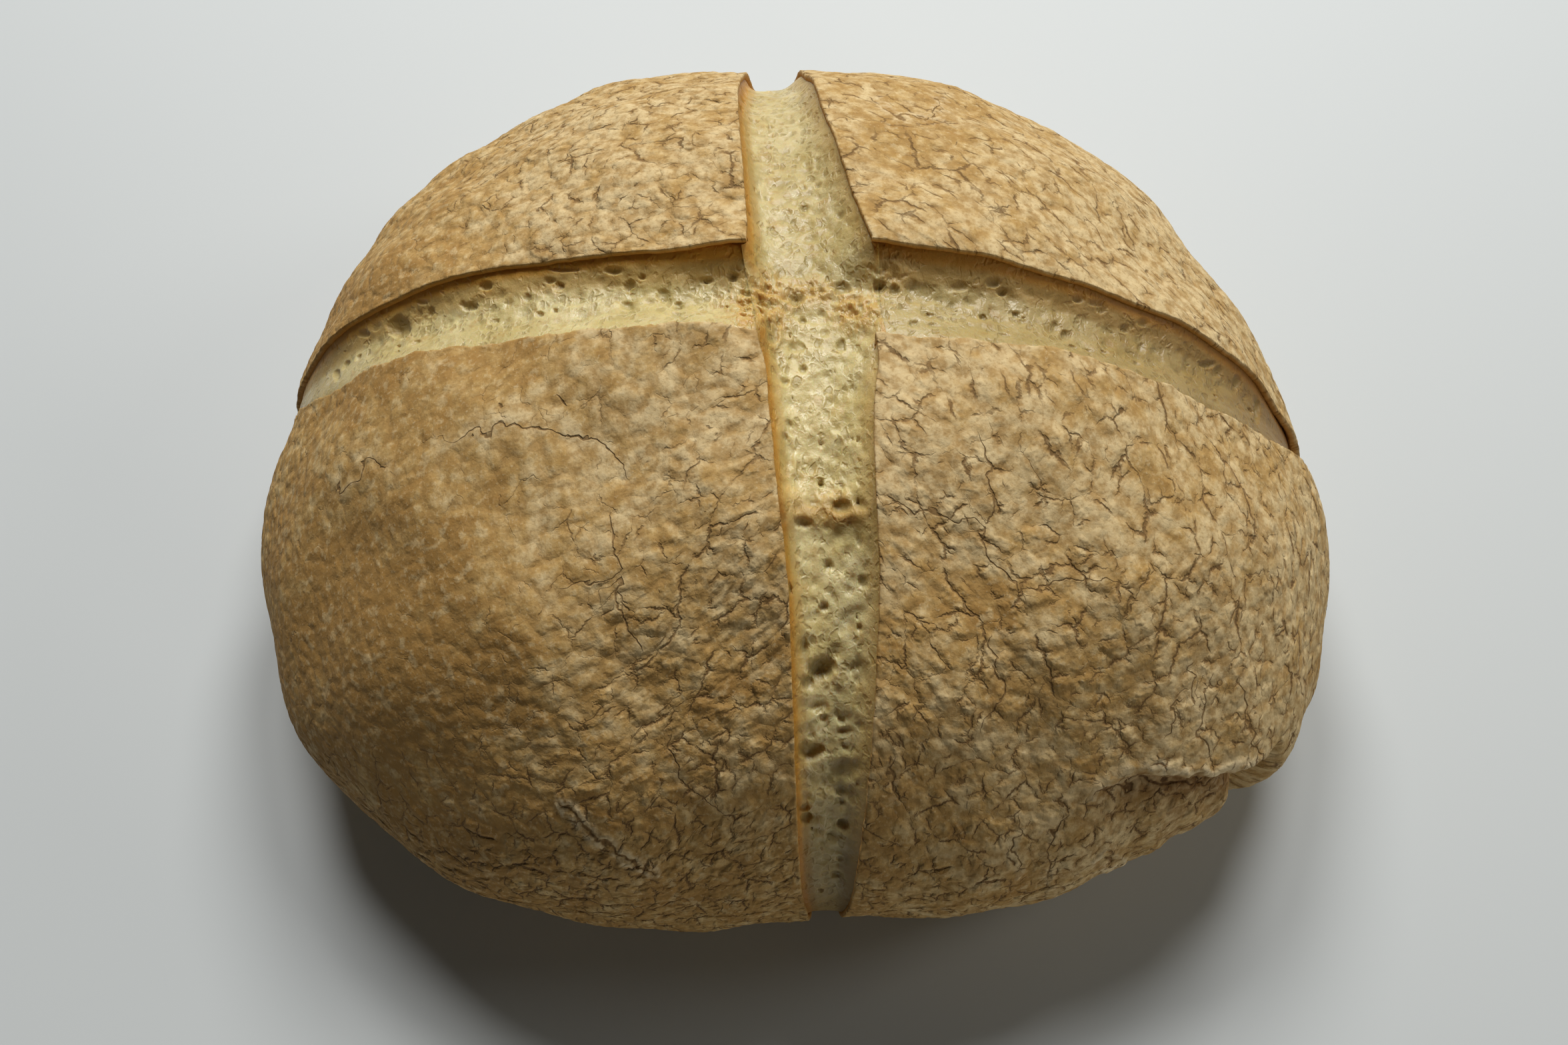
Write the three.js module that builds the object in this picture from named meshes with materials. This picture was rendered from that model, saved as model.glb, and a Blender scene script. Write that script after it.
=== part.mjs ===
// Cross-scored bread loaf: one oval, domed loaf whose top was cut in a cross before baking.
// The cuts have opened into four crumb-floored channels that part the crust into four lobes.
// Millimetres, +Z up, +Y to the back. The origin is the middle of the flat base.
import * as THREE from 'three';
import { mergeGeometries, mergeVertices } from 'three/addons/utils/BufferGeometryUtils.js';

// Driving dimensions of the dome
const HEIGHT = 97;
const WAIST_HEIGHT = 30.5; // where the loaf is widest
const MEAN_RADIUS = 115.9; // mean plan radius at the waist
const PLAN_WAVES = [ // [lobes round the plan, cosine part, sine part], added to the mean radius
  [2, 6.1, -1.2], // longer left to right than front to back
  [3, 1.0, -3.5], // rounder at the back, broad at the front
  [4, -3.4, -1.0], // full shoulders
  [5, -0.5, -0.4],
];
const PLAN_CENTRE = new THREE.Vector2(0.55, 2.53); // middle of the plan's box, moved to the origin
const CROWN_SHIFT = new THREE.Vector2(8.2, 0.6); // the crown lies a little to the right
const FOOT_SHARE = 0.84; // the flat base against the waist
const CROWN_POWER = 2.15; // how flat the crown is
const FLANK_POWER = 1.65; // how upright the flanks are
const WAIST_REACH = 0.78; // share of the way from crown to foot where the waist comes

// Driving dimensions of the cross
const CROSSING = new THREE.Vector2(-3.2, 5.8); // where the cuts meet, from the crown
const DEPTH_FADE = 1.5; // how the depth runs out along an arm
const CLOSED_WIDTH = 2.4; // a cut's width where it has run out
const ARMS = { // width and depth at the crossing, reach as a share of the way down, turn in degrees
  right: { width: 20.3, depth: 5.5, reach: 0.88, fade: 3.2, turn: -2.1 }, // fade: how the width runs out
  back: { width: 25, depth: 7.5, reach: 0.95, fade: 1.4, turn: -0.2 },
  left: { width: 18.8, depth: 5.5, reach: 0.82, fade: 3, turn: -4.6 },
  front: { width: 22, depth: 7.5, reach: 1.15, fade: 1.45, turn: 5.8 }, // still open at the foot
};
const SWAY = { // how far a cut strays sideways: first value, then changes as [from, to, by] along it
  upright: { first: -1.6, changes: [[-0.85, -0.13, 4.7], [-0.13, 0.35, -6.1]] },
  across: { first: 3.7, changes: [[-0.8, -0.5, -4.5], [0.58, 0.8, 2]] },
};
const WALL_DROP = 0.8; // share of the depth that the walls take, before the floor's own hollow
const WALL_SPAN = { left: 0.28, right: 0.5, front: 0.3, back: 0.34 }; // of the half width, at the wall's foot
const WALL_COLUMNS = 0.62; // share of the half band given to the floor's columns
const EAR_RAISE = { left: 0.5, right: 0.7, front: 0.4, back: 1.9 }; // the crust curls up along the cuts
const EAR_RUN = 13; // how far back from a lip the curl reaches

// Uneven crust: a few broad swells, finer puckers, and the pleat where the dough was closed
const SWELLS = [ // [height, wavelength, direction, phase]
  [0.8, 61, [0.9, 0.3, 0.3], 0.4],
  [0.6, 43, [-0.4, 0.85, 0.35], 2.1],
  [0.45, 27, [0.2, -0.6, 0.78], 4.0],
  [0.3, 17, [0.7, 0.62, -0.35], 1.2],
];
const PLEAT = { // where the dough was folded: angles round the plan in degrees, shares of the way down
  depths: [[-66, -50, 2.6], [-46, -40.5, 4.2]], // [from, to, set in further by]
  end: [-38.5, -36.5], // a step back out
  ledge: [0.565, 0.665], // its upper edge slants down to the right
  ledgeTurn: [-56, -38],
  edge: [0.15, 0.02], // how softly the edge falls, then sharper
  edgeTurn: [-68, -58],
};

// Grid of the surface
const NOMINAL_LIP = 0.05; // of the half square
const LOBE_COLUMNS = 27;
const LOBE_EASE = 1.12; // columns a little closer beside the cuts
const BAND_COLUMNS = 12;
const FOOT_FADE = 0.9; // share of the way down where uneven crust starts to give way to the flat foot
const STEP = 1e-3; // for slopes of the smooth dome

const CRUST_COLOUR = 0xc39a68;
const CRUST_ROUGHNESS = 0.85;

const { clamp, degToRad, lerp, radToDeg, smoothstep } = THREE.MathUtils;

function planRadius(angle) {
  return PLAN_WAVES.reduce(
    (sum, [n, c, s]) => sum + c * Math.cos(n * angle) + s * Math.sin(n * angle), MEAN_RADIUS);
}

// Section of the dome: way runs from 0 at the crown, past the waist, to 1 at the foot.
function section(way) {
  if (way < WAIST_REACH) {
    const out = Math.sin((way / WAIST_REACH) * Math.PI / 2);
    const rise = Math.max(1 - out ** CROWN_POWER, 0) ** (1 / FLANK_POWER);
    return { out, height: lerp(WAIST_HEIGHT, HEIGHT, rise) };
  }
  const under = ((way - WAIST_REACH) / (1 - WAIST_REACH)) * Math.PI / 2;
  return {
    out: 1 - (1 - FOOT_SHARE) * (1 - Math.cos(under)),
    height: WAIST_HEIGHT * (1 - Math.sin(under)),
  };
}

// Turn of the plan at an angle, so that each arm of the cross ends where it should.
function armTurn(angle) {
  const { right, back, left, front } = ARMS;
  const mean = (right.turn + left.turn + back.turn + front.turn) / 4;
  const twist = (right.turn + left.turn - back.turn - front.turn) / 4;
  const turn = mean + twist * Math.cos(2 * angle)
    + ((right.turn - left.turn) / 2) * Math.cos(angle)
    + ((back.turn - front.turn) / 2) * Math.sin(angle);
  return degToRad(turn);
}

// Millimetres sideways for one unit of the disc, at a share of the way down.
function sidewaysScale(way) {
  const near = Math.max(way, STEP);
  return (section(near).out * MEAN_RADIUS) / near;
}

// A point of the smooth dome above a point of the unit disc.
function domePoint(x, y) {
  const inside = 1 - Math.min(x * x + y * y, 1);
  const px = x + (CROSSING.x / sidewaysScale(0)) * inside;
  const py = y + (CROSSING.y / sidewaysScale(0)) * inside;
  const way = Math.hypot(px, py);
  const plain = Math.atan2(py, px);
  const angle = plain + armTurn(plain) * smoothstep(way, 0, 0.3);
  const { out, height } = section(way);
  const radius = planRadius(angle) * out;
  const lean = Math.max(1 - out, 0);
  return new THREE.Vector3(
    radius * Math.cos(angle) + lean * CROWN_SHIFT.x - PLAN_CENTRE.x,
    radius * Math.sin(angle) + lean * CROWN_SHIFT.y - PLAN_CENTRE.y,
    height,
  );
}

function domeNormal(x, y) {
  const alongX = domePoint(x + STEP, y).sub(domePoint(x - STEP, y));
  const alongY = domePoint(x, y + STEP).sub(domePoint(x, y - STEP));
  return alongX.cross(alongY).normalize();
}

// Values of two opposite arms, blended across the crossing. along is signed, towards the second arm.
function armValue(first, second, key, along) {
  return lerp(first[key], second[key], smoothstep(along, -NOMINAL_LIP, NOMINAL_LIP));
}

function cutWidth(first, second, along) {
  const reach = armValue(first, second, 'reach', along);
  const left = 1 - Math.min(Math.abs(along) / reach, 1) ** armValue(first, second, 'fade', along);
  return Math.max(armValue(first, second, 'width', along) * left, CLOSED_WIDTH);
}

// The depth has run out at the foot, even where the width has not.
function cutDepth(first, second, along) {
  const reach = Math.min(armValue(first, second, 'reach', along), 1);
  const left = 1 - Math.min(Math.abs(along) / reach, 1) ** DEPTH_FADE;
  return armValue(first, second, 'depth', along) * left;
}

function cutSway({ first, changes }, along) {
  return changes.reduce((sum, [from, to, by]) => sum + by * smoothstep(along, from, to), first);
}

// Section of a cut: across runs from lip to lip, -1 to 1, and down is the share of its depth.
function cutSection(column, spanBefore, spanAfter) {
  const span = column < 0 ? spanBefore : spanAfter;
  const side = Math.abs(column);
  if (side > WALL_COLUMNS) {
    const fall = (1 - side) / (1 - WALL_COLUMNS);
    return {
      across: Math.sign(column) * (1 - span * fall ** 1.5),
      down: WALL_DROP * Math.sin(fall * Math.PI / 2),
    };
  }
  const share = side / WALL_COLUMNS;
  return {
    across: Math.sign(column) * (1 - span) * share,
    down: WALL_DROP + (1 - WALL_DROP) * (1 - share * share),
  };
}

// Grid lines across the loaf: a lobe, a cut and the other lobe.
function gridLines() {
  const lobe = Array.from({ length: LOBE_COLUMNS }, (_, i) => ((i + 1) / LOBE_COLUMNS) ** LOBE_EASE);
  const band = Array.from({ length: BAND_COLUMNS + 1 }, (_, i) => (2 * i) / BAND_COLUMNS - 1);
  return [
    ...lobe.toReversed().map((away) => ({ side: -1, away })),
    ...band.map((column) => ({ side: Math.sign(column), away: 0, column })),
    ...lobe.map((away) => ({ side: 1, away })),
  ];
}

function nominal(line) {
  if (line.column !== undefined) return NOMINAL_LIP * line.column;
  return line.side * lerp(NOMINAL_LIP, 1, line.away);
}

// Where a grid line runs: sideways in the square, with its share of the cut's depth.
function placeLine(line, [first, second], sway, along, spans) {
  const scale = sidewaysScale(Math.abs(along)) * Math.sqrt(1 - (along * along) / 2);
  const lip = cutWidth(first, second, along) / 2 / scale;
  const shift = cutSway(sway, along) / scale;
  if (line.column === undefined) return { at: lerp(shift + line.side * lip, line.side, line.away), down: 0 };
  const { across, down } = cutSection(line.column, ...spans);
  return { at: shift + lip * across, down };
}

function swell(point) {
  return SWELLS.reduce((sum, [height, length, way, phase]) => {
    const run = point.x * way[0] + point.y * way[1] + point.z * way[2];
    return sum + height * Math.sin((run / length) * 2 * Math.PI + phase);
  }, 0);
}

// The pleat: below a slanting ledge at the front right, the crust is set in, down to the foot.
function pleat(x, y, way) {
  const angle = radToDeg(Math.atan2(y, x));
  const { depths, end, ledge, ledgeTurn, edge, edgeTurn } = PLEAT;
  const depth = depths.reduce((sum, [from, to, more]) => sum + more * smoothstep(angle, from, to), 0);
  const top = lerp(...ledge, smoothstep(angle, ...ledgeTurn));
  const fall = lerp(...edge, smoothstep(angle, ...edgeTurn));
  return -depth * (1 - smoothstep(angle, ...end)) * smoothstep(way, top, top + fall);
}

// The crust curls up beside a cut. away is the distance from its lip.
function ear(raise, away) {
  return raise * Math.exp(-((away / EAR_RUN) ** 2));
}

function loafPoint(column, row) {
  const { left, right, front, back } = ARMS;
  const walls = [WALL_SPAN.left, WALL_SPAN.right];
  const endWalls = [WALL_SPAN.front, WALL_SPAN.back];
  const across = placeLine(column, [front, back], SWAY.upright, nominal(row), walls);
  const along = placeLine(row, [left, right], SWAY.across, nominal(column), endWalls);
  const x = across.at * Math.sqrt(1 - (along.at * along.at) / 2);
  const y = along.at * Math.sqrt(1 - (across.at * across.at) / 2);
  const way = Math.min(Math.hypot(x, y), 1);
  const point = domePoint(x, y);
  const foot = 1 - smoothstep(way, FOOT_FADE, 1);

  const depth = cutDepth(front, back, nominal(row)) * across.down;
  const sideDepth = cutDepth(left, right, nominal(column)) * along.down;
  const open = across.down + along.down - across.down * along.down;
  const down = depth + sideDepth * (1 - across.down);

  const raise = (row.side < 0 ? EAR_RAISE.front : EAR_RAISE.back);
  const sideRaise = (column.side < 0 ? EAR_RAISE.left : EAR_RAISE.right);
  const run = sidewaysScale(way);
  const fade = clamp(1 - way, 0, 1);
  const curl = fade * (1 - open) * Math.hypot(
    ear(raise, row.away * run), ear(sideRaise, column.away * run));

  const uneven = (1 - open) * (swell(point) + pleat(x, y, way));
  const lift = foot * (uneven + curl - down);
  return point.addScaledVector(domeNormal(x, y), lift);
}

// The dome: a square sheet bent over the loaf, its squares split towards the crossing.
function domeSheet(lines) {
  const count = lines.length;
  const sheet = new THREE.PlaneGeometry(2, 2, count - 1, count - 1);
  const { position } = sheet.attributes;
  const backToFront = lines.toReversed();
  backToFront.forEach((row, j) => lines.forEach((column, i) => {
    position.setXYZ(j * count + i, ...loafPoint(column, row));
  }));
  const half = (count - 1) / 2;
  const squares = [];
  for (let j = 0; j < count - 1; j++) {
    for (let i = 0; i < count - 1; i++) {
      const [a, d] = [j * count + i, j * count + i + 1];
      const [b, c] = [a + count, d + count];
      const towards = (i < half) === (j < half);
      squares.push(...(towards ? [a, b, c, a, c, d] : [a, b, d, b, c, d]));
    }
  }
  return sheet.setIndex(squares);
}

// The flat base: a fan from the origin to the sheet's edge, taken clockwise so that it faces down.
function flatBase(sheet, count) {
  const last = count - 1;
  const side = Array.from({ length: last }, (_, i) => i);
  const edge = [
    ...side,
    ...side.map((i) => i * count + last),
    ...side.map((i) => last * count + last - i),
    ...side.map((i) => (last - i) * count),
  ];
  const base = new THREE.CircleGeometry(1, edge.length);
  const rim = [...edge, edge[0]];
  const corner = new THREE.Vector3();
  rim.forEach((vertex, i) => {
    corner.fromBufferAttribute(sheet.attributes.position, vertex);
    base.attributes.position.setXYZ(i + 1, corner.x, corner.y, 0);
  });
  return base;
}

function loafGeometry() {
  const lines = gridLines();
  const sheet = domeSheet(lines);
  const skin = mergeGeometries([sheet, flatBase(sheet, lines.length)]);
  skin.deleteAttribute('normal');
  skin.deleteAttribute('uv');
  const closed = mergeVertices(skin);
  closed.computeVertexNormals();
  return closed;
}

const crust = new THREE.MeshStandardMaterial({
  color: CRUST_COLOUR, roughness: CRUST_ROUGHNESS, metalness: 0,
});
const mesh = new THREE.Mesh(loafGeometry(), crust);
mesh.name = 'loaf';

const loaf = new THREE.Group();
loaf.add(mesh);
export default loaf;
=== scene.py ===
import bmesh
import bpy
import numpy as np
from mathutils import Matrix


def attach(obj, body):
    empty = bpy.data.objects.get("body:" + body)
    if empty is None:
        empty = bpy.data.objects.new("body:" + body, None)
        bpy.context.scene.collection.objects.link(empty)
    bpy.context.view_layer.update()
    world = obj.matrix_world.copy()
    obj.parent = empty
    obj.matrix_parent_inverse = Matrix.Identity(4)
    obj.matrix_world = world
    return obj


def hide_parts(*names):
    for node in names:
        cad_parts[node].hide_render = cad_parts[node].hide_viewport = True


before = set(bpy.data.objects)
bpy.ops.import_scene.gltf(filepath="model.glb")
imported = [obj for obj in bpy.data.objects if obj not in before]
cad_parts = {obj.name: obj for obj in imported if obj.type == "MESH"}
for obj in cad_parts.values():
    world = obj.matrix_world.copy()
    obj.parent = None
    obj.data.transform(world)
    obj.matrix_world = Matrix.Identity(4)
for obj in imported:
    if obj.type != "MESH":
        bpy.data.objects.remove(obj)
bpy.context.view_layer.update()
mm = 0.001
tiny = 1e-3  # smallest step on the unit disc
joinSteps = 1e4  # steps in a mm within which points are joined
sharpAngle = 75  # faces that meet at more degrees keep a sharp edge

# the dome of the loaf in mm, with the same values as its solid
dome = dict(
    height=97.0,
    waistHeight=30.5,
    meanRadius=115.9,
    planWaves=((2, 6.1, -1.2), (3, 1.0, -3.5), (4, -3.4, -1.0), (5, -0.5, -0.4)),  # count, cosine, sine
    planCentre=(0.55, 2.53),
    crownShift=(8.2, 0.6),
    footShare=0.84,
    crownPower=2.15,
    flankPower=1.65,
    waistReach=0.78,
    footFade=0.9,
    swells=(  # height, length, direction, phase
        (0.8, 61, (0.9, 0.3, 0.3), 0.4),
        (0.6, 43, (-0.4, 0.85, 0.35), 2.1),
        (0.45, 27, (0.2, -0.6, 0.78), 4.0),
        (0.3, 17, (0.7, 0.62, -0.35), 1.2),
    ),
)

# the cross of cuts, in mm and shares of the way from crown to foot
cross = dict(
    crossing=(-3.2, 5.8),
    turnRun=0.3,
    depthFade=1.5,
    nominalLip=0.05,
    openWidth=5.0,  # a narrower cut has no torn edge
    right=dict(width=20.3, reach=0.88, fade=3.2, turn=-2.1, depth=4.6),
    back=dict(width=25.0, reach=0.95, fade=1.4, turn=-0.2, depth=7.0),
    left=dict(width=18.8, reach=0.82, fade=3.0, turn=-4.6, depth=4.6),
    front=dict(width=22.0, reach=1.15, fade=1.45, turn=5.8, depth=7.0),
    sway=dict(  # mm sideways at the front or left end, then changes along the cut
        upright=(-1.6, (-0.85, -0.13, 4.7), (-0.13, 0.35, -6.1)),
        across=(3.7, (-0.8, -0.5, -4.5), (0.58, 0.8, 2.0)),
    ),
    ends=dict(upright=("front", "back"), across=("left", "right")),
    walls=dict(upright=("left", "right"), across=("front", "back")),
    wallRun=dict(left=0.2, right=0.42, front=0.95, back=0.7),  # shares of half the width
    wallPower=1.4,
    earRaise=dict(frontLeft=(0.5, 0.4), frontRight=(0.7, 0.4), backLeft=(2.0, 1.1), backRight=(2.2, 1.2)),
    earRun=13.0,
)

# the camera, in mm: it stands in front of the loaf and looks down on it
camera = dict(
    target=(-0.925, -20.7, 40.0),
    elevation=63.47,
    distance=337.2,
    lens=34.59,
    sensor=36.0,
    picture=(2352, 1568),
)


def smooth(low, high, value):  # an S curve from 0 at low to 1 at high
    t = np.clip((value - low) / (high - low), 0.0, 1.0)
    return t * t * (3.0 - 2.0 * t)


def mix(a, b, t):  # straight blend of a and b
    return a + (b - a) * t


def bell(value, half):  # a bell curve, 1 in the middle
    return np.exp(-((value / half) ** 2))


def planRadius(angle):  # mean radius plus a few cosine and sine waves round the plan
    radius = dome["meanRadius"] + 0.0 * angle
    for count, cosine, sine in dome["planWaves"]:
        radius = radius + cosine * np.cos(count * angle) + sine * np.sin(count * angle)
    return radius


def section(way):  # superellipse from crown to waist, then a quarter ellipse tucked in to the foot
    reach = dome["waistReach"]
    out = np.sin(np.minimum(way / reach, 1.0) * np.pi / 2)
    rise = np.maximum(1.0 - out ** dome["crownPower"], 0.0) ** (1.0 / dome["flankPower"])
    upper = mix(dome["waistHeight"], dome["height"], rise)
    under = np.maximum((way - reach) / (1.0 - reach), 0.0) * np.pi / 2
    lower = dome["waistHeight"] * (1.0 - np.sin(under))
    foot = 1.0 - (1.0 - dome["footShare"]) * (1.0 - np.cos(under))
    return np.where(way < reach, out, foot), np.where(way < reach, upper, lower)


def armTurn(angle):  # cosine waves that pass through the turn of each arm
    right, back, left, front = (cross[arm]["turn"] for arm in ("right", "back", "left", "front"))
    turn = (right + left + back + front) / 4 + (right + left - back - front) / 4 * np.cos(2 * angle)
    return np.radians(turn + (right - left) / 2 * np.cos(angle) + (back - front) / 2 * np.sin(angle))


def sidewaysScale(way):  # mm sideways for one unit of the disc
    near = np.maximum(way, tiny)
    return section(near)[0] * dome["meanRadius"] / near


def domePlace(x, y):  # way from crown to foot and angle round the plan, for a point of the unit disc
    inside = 1.0 - np.minimum(x * x + y * y, 1.0)
    centre = sidewaysScale(np.array(0.0))
    px = x + cross["crossing"][0] / centre * inside
    py = y + cross["crossing"][1] / centre * inside
    way = np.hypot(px, py)
    plain = np.arctan2(py, px)
    return way, plain + armTurn(plain) * smooth(0.0, cross["turnRun"], way)


def domePoint(x, y):  # plan radius times the section's reach, leaning towards the crown
    way, angle = domePlace(x, y)
    out, height = section(way)
    radius = planRadius(angle) * out
    lean = np.maximum(1.0 - out, 0.0)
    return np.stack([
        radius * np.cos(angle) + lean * dome["crownShift"][0] - dome["planCentre"][0],
        radius * np.sin(angle) + lean * dome["crownShift"][1] - dome["planCentre"][1],
        height,
    ], -1)


def domeNormal(x, y):  # cross product of the two slopes of the dome, brought to length 1
    alongX = domePoint(x + tiny, y) - domePoint(x - tiny, y)
    alongY = domePoint(x, y + tiny) - domePoint(x, y - tiny)
    normals = np.cross(alongX, alongY)
    return normals / np.maximum(np.linalg.norm(normals, axis=-1, keepdims=True), 1e-9)


def rimShare(x, y):  # share of the way from the middle of the disc to its rim
    return np.minimum(np.hypot(x, y), 1.0)


def footFade(way):  # 1 over the loaf, falling to 0 at the foot
    return 1.0 - smooth(dome["footFade"], 1.0, way)


def swell(points):  # sum of sine waves through the loaf
    total = 0.0
    for height, length, way, phase in dome["swells"]:
        total = total + height * np.sin(points @ np.array(way) / length * 2 * np.pi + phase)
    return total


def armValue(first, second, key, along):  # an arm's value blended into the opposite arm's at the crossing
    lip = cross["nominalLip"]
    return mix(cross[first][key], cross[second][key], smooth(-lip, lip, along))


def cutWidth(first, second, along):  # width at the crossing, running out along the arm by a power
    run = np.minimum(np.abs(along) / armValue(first, second, "reach", along), 1.0)
    return armValue(first, second, "width", along) * (1.0 - run ** armValue(first, second, "fade", along))


def cutDepth(first, second, along):  # depth at the crossing, running out by a power, at the foot at most
    reach = np.minimum(armValue(first, second, "reach", along), 1.0)
    run = np.minimum(np.abs(along) / reach, 1.0)
    return armValue(first, second, "depth", along) * (1.0 - run ** cross["depthFade"])


def cutSway(cut, along):  # how far a cut strays sideways: a first value and S curves along it
    first, *changes = cross["sway"][cut]
    return first + sum(change * smooth(low, high, along) for low, high, change in changes)


def cutSection(column, runBefore, runAfter):  # one minus a falling exponential from each lip, multiplied
    def fall(at):
        before = 1.0 - np.exp(-(((1.0 + at) / runBefore) ** cross["wallPower"]))
        return before * (1.0 - np.exp(-(((1.0 - at) / runAfter) ** cross["wallPower"])))

    fine = np.linspace(-1.0, 1.0, 201)
    return fall(column) / fall(fine).max()


def lineNominal(line):  # where a grid line runs in the square when the cuts are taken as even
    lip = cross["nominalLip"]
    if "column" in line:
        return lip * line["column"]
    return line["side"] * mix(lip, 1.0, line["away"])


def unitsAcross(along):  # units of the square for one mm across a cut
    return 1.0 / sidewaysScale(np.abs(along)) / np.sqrt(1.0 - along * along / 2)


def toDisc(a, b):  # the square bent to the unit disc
    return a * np.sqrt(1.0 - b * b / 2), b * np.sqrt(1.0 - a * a / 2)


def photoPlace(points):  # where points fall in the picture, by central projection
    wide, high = camera["picture"]
    lift = np.radians(camera["elevation"])
    focal = camera["lens"] / camera["sensor"] * wide
    away = points - np.array(camera["target"])
    depth = camera["distance"] + away[..., 1] * np.cos(lift) - away[..., 2] * np.sin(lift)
    up = away[..., 1] * np.sin(lift) + away[..., 2] * np.cos(lift)
    return np.stack([wide / 2 + focal * away[..., 0] / depth, high / 2 - focal * up / depth], -1)


def addNode(tree, kind, inputs=None, **settings):  # a node with its settings, values and links
    made = tree.nodes.new(kind)
    for key, value in settings.items():
        setattr(made, key, value)
    for key, value in (inputs or {}).items():
        if isinstance(value, bpy.types.NodeSocket):
            tree.links.new(value, made.inputs[key])
        else:
            made.inputs[key].default_value = value
    return made


def calc(tree, operation, *values):  # a Math node's result
    return addNode(tree, "ShaderNodeMath", dict(enumerate(values)), operation=operation).outputs[0]


def times(tree, *values):  # all values multiplied
    product = values[0]
    for value in values[1:]:
        product = calc(tree, "MULTIPLY", product, value)
    return product


def addShares(tree, total, *parts):  # a total plus each value times its share
    for value, share in parts:
        total = calc(tree, "MULTIPLY_ADD", value, share, total)
    return total


def vectorCalc(tree, operation, a, b):  # a Vector Math node's result; SCALE takes a number
    second = "Scale" if operation == "SCALE" else 1
    return addNode(tree, "ShaderNodeVectorMath", {0: a, second: b}, operation=operation).outputs[0]


def ramp(tree, value, low, high):  # the S curve as a node
    inputs = {"Value": value, "From Min": low, "From Max": high}
    return addNode(tree, "ShaderNodeMapRange", inputs, interpolation_type="SMOOTHSTEP").outputs[0]


def noise(tree, place, size, detail=2.0, seed=0.0, rough=0.5, output=0):  # fractal noise, sized as place is
    inputs = {"Vector": place, "Scale": 1.0 / size, "Detail": detail, "Roughness": rough, "W": seed}
    return addNode(tree, "ShaderNodeTexNoise", inputs, noise_dimensions="4D").outputs[output]


def noises(tree, place, table):  # a noise for each entry of size, detail, seed and roughness
    return {name: noise(tree, place, *values) for name, values in table.items()}


def cells(tree, place, size, feature="F1", output="Distance", shape="2D"):  # Voronoi cells
    inputs = {"Vector": place, "Scale": 1.0 / size}
    made = addNode(tree, "ShaderNodeTexVoronoi", inputs, feature=feature, voronoi_dimensions=shape)
    return made.outputs[output]


def cellTone(tree, place, size, shape="2D"):  # each cell's own value
    colour = cells(tree, place, size, "F1", "Color", shape)
    return addNode(tree, "ShaderNodeSeparateXYZ", {0: colour}).outputs[0]


def attribute(tree, name, output="Fac"):  # an attribute of the mesh
    return addNode(tree, "ShaderNodeAttribute", attribute_name=name).outputs[output]


def blend(tree, factor, a, b, kind="MIX"):  # two colours mixed by a factor
    made = addNode(tree, "ShaderNodeMix", {0: factor, 6: a, 7: b}, data_type="RGBA", blend_type=kind)
    return made.outputs[2]


def tint(tree, colour, value, low, high, strength, tone):  # towards a tone as the value goes from low to high
    return blend(tree, times(tree, ramp(tree, value, low, high), strength), colour, tone)


def emptyMaterial(name):  # a material whose node tree holds nothing yet
    material = bpy.data.materials.new(name)
    material.use_nodes = True
    material.node_tree.nodes.clear()
    return material, material.node_tree


def closeMaterial(tree, height, strength, inputs):  # a height in mm as bump, the shader and the output
    bump = addNode(tree, "ShaderNodeBump", {"Height": height, "Distance": mm, "Strength": strength})
    surface = addNode(tree, "ShaderNodeBsdfPrincipled", {**inputs, "Normal": bump.outputs[0]})
    addNode(tree, "ShaderNodeOutputMaterial", {"Surface": surface.outputs[0]})


def probe(points, build):
    # values of a texture at points: loose points carry the nodes, and the results are read back from them
    count = len(points)
    mesh = bpy.data.meshes.new("probe")
    mesh.vertices.add(count)
    mesh.vertices.foreach_set("co", points.astype(np.float32).ravel())
    thing = bpy.data.objects.new("probe", mesh)
    bpy.context.scene.collection.objects.link(thing)
    tree = bpy.data.node_groups.new("probe", "GeometryNodeTree")
    tree.interface.new_socket("Geometry", in_out="INPUT", socket_type="NodeSocketGeometry")
    tree.interface.new_socket("Geometry", in_out="OUTPUT", socket_type="NodeSocketGeometry")
    shape = addNode(tree, "NodeGroupInput").outputs[0]
    wanted = build(tree, addNode(tree, "GeometryNodeInputPosition").outputs[0])
    for name, value in wanted.items():
        inputs = {"Geometry": shape, "Name": name, "Value": value}
        shape = addNode(tree, "GeometryNodeStoreNamedAttribute", inputs, data_type="FLOAT").outputs[0]
    tree.links.new(shape, addNode(tree, "NodeGroupOutput").inputs[0])
    thing.modifiers.new("probe", "NODES").node_group = tree
    result = thing.evaluated_get(bpy.context.evaluated_depsgraph_get()).data
    found = {}
    for name in wanted:
        found[name] = np.empty(count, np.float32)
        result.attributes[name].data.foreach_get("value", found[name])
    bpy.data.objects.remove(thing)
    bpy.data.meshes.remove(mesh)
    bpy.data.node_groups.remove(tree)
    return found


def gridFaces(index):  # two triangles for each square of a grid of vertex numbers
    a, b, c, d = index[:-1, :-1], index[:-1, 1:], index[1:, 1:], index[1:, :-1]
    first = np.stack([a, b, c], -1).reshape(-1, 3)
    second = np.stack([a, c, d], -1).reshape(-1, 3)
    return np.concatenate([first, second])


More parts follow.
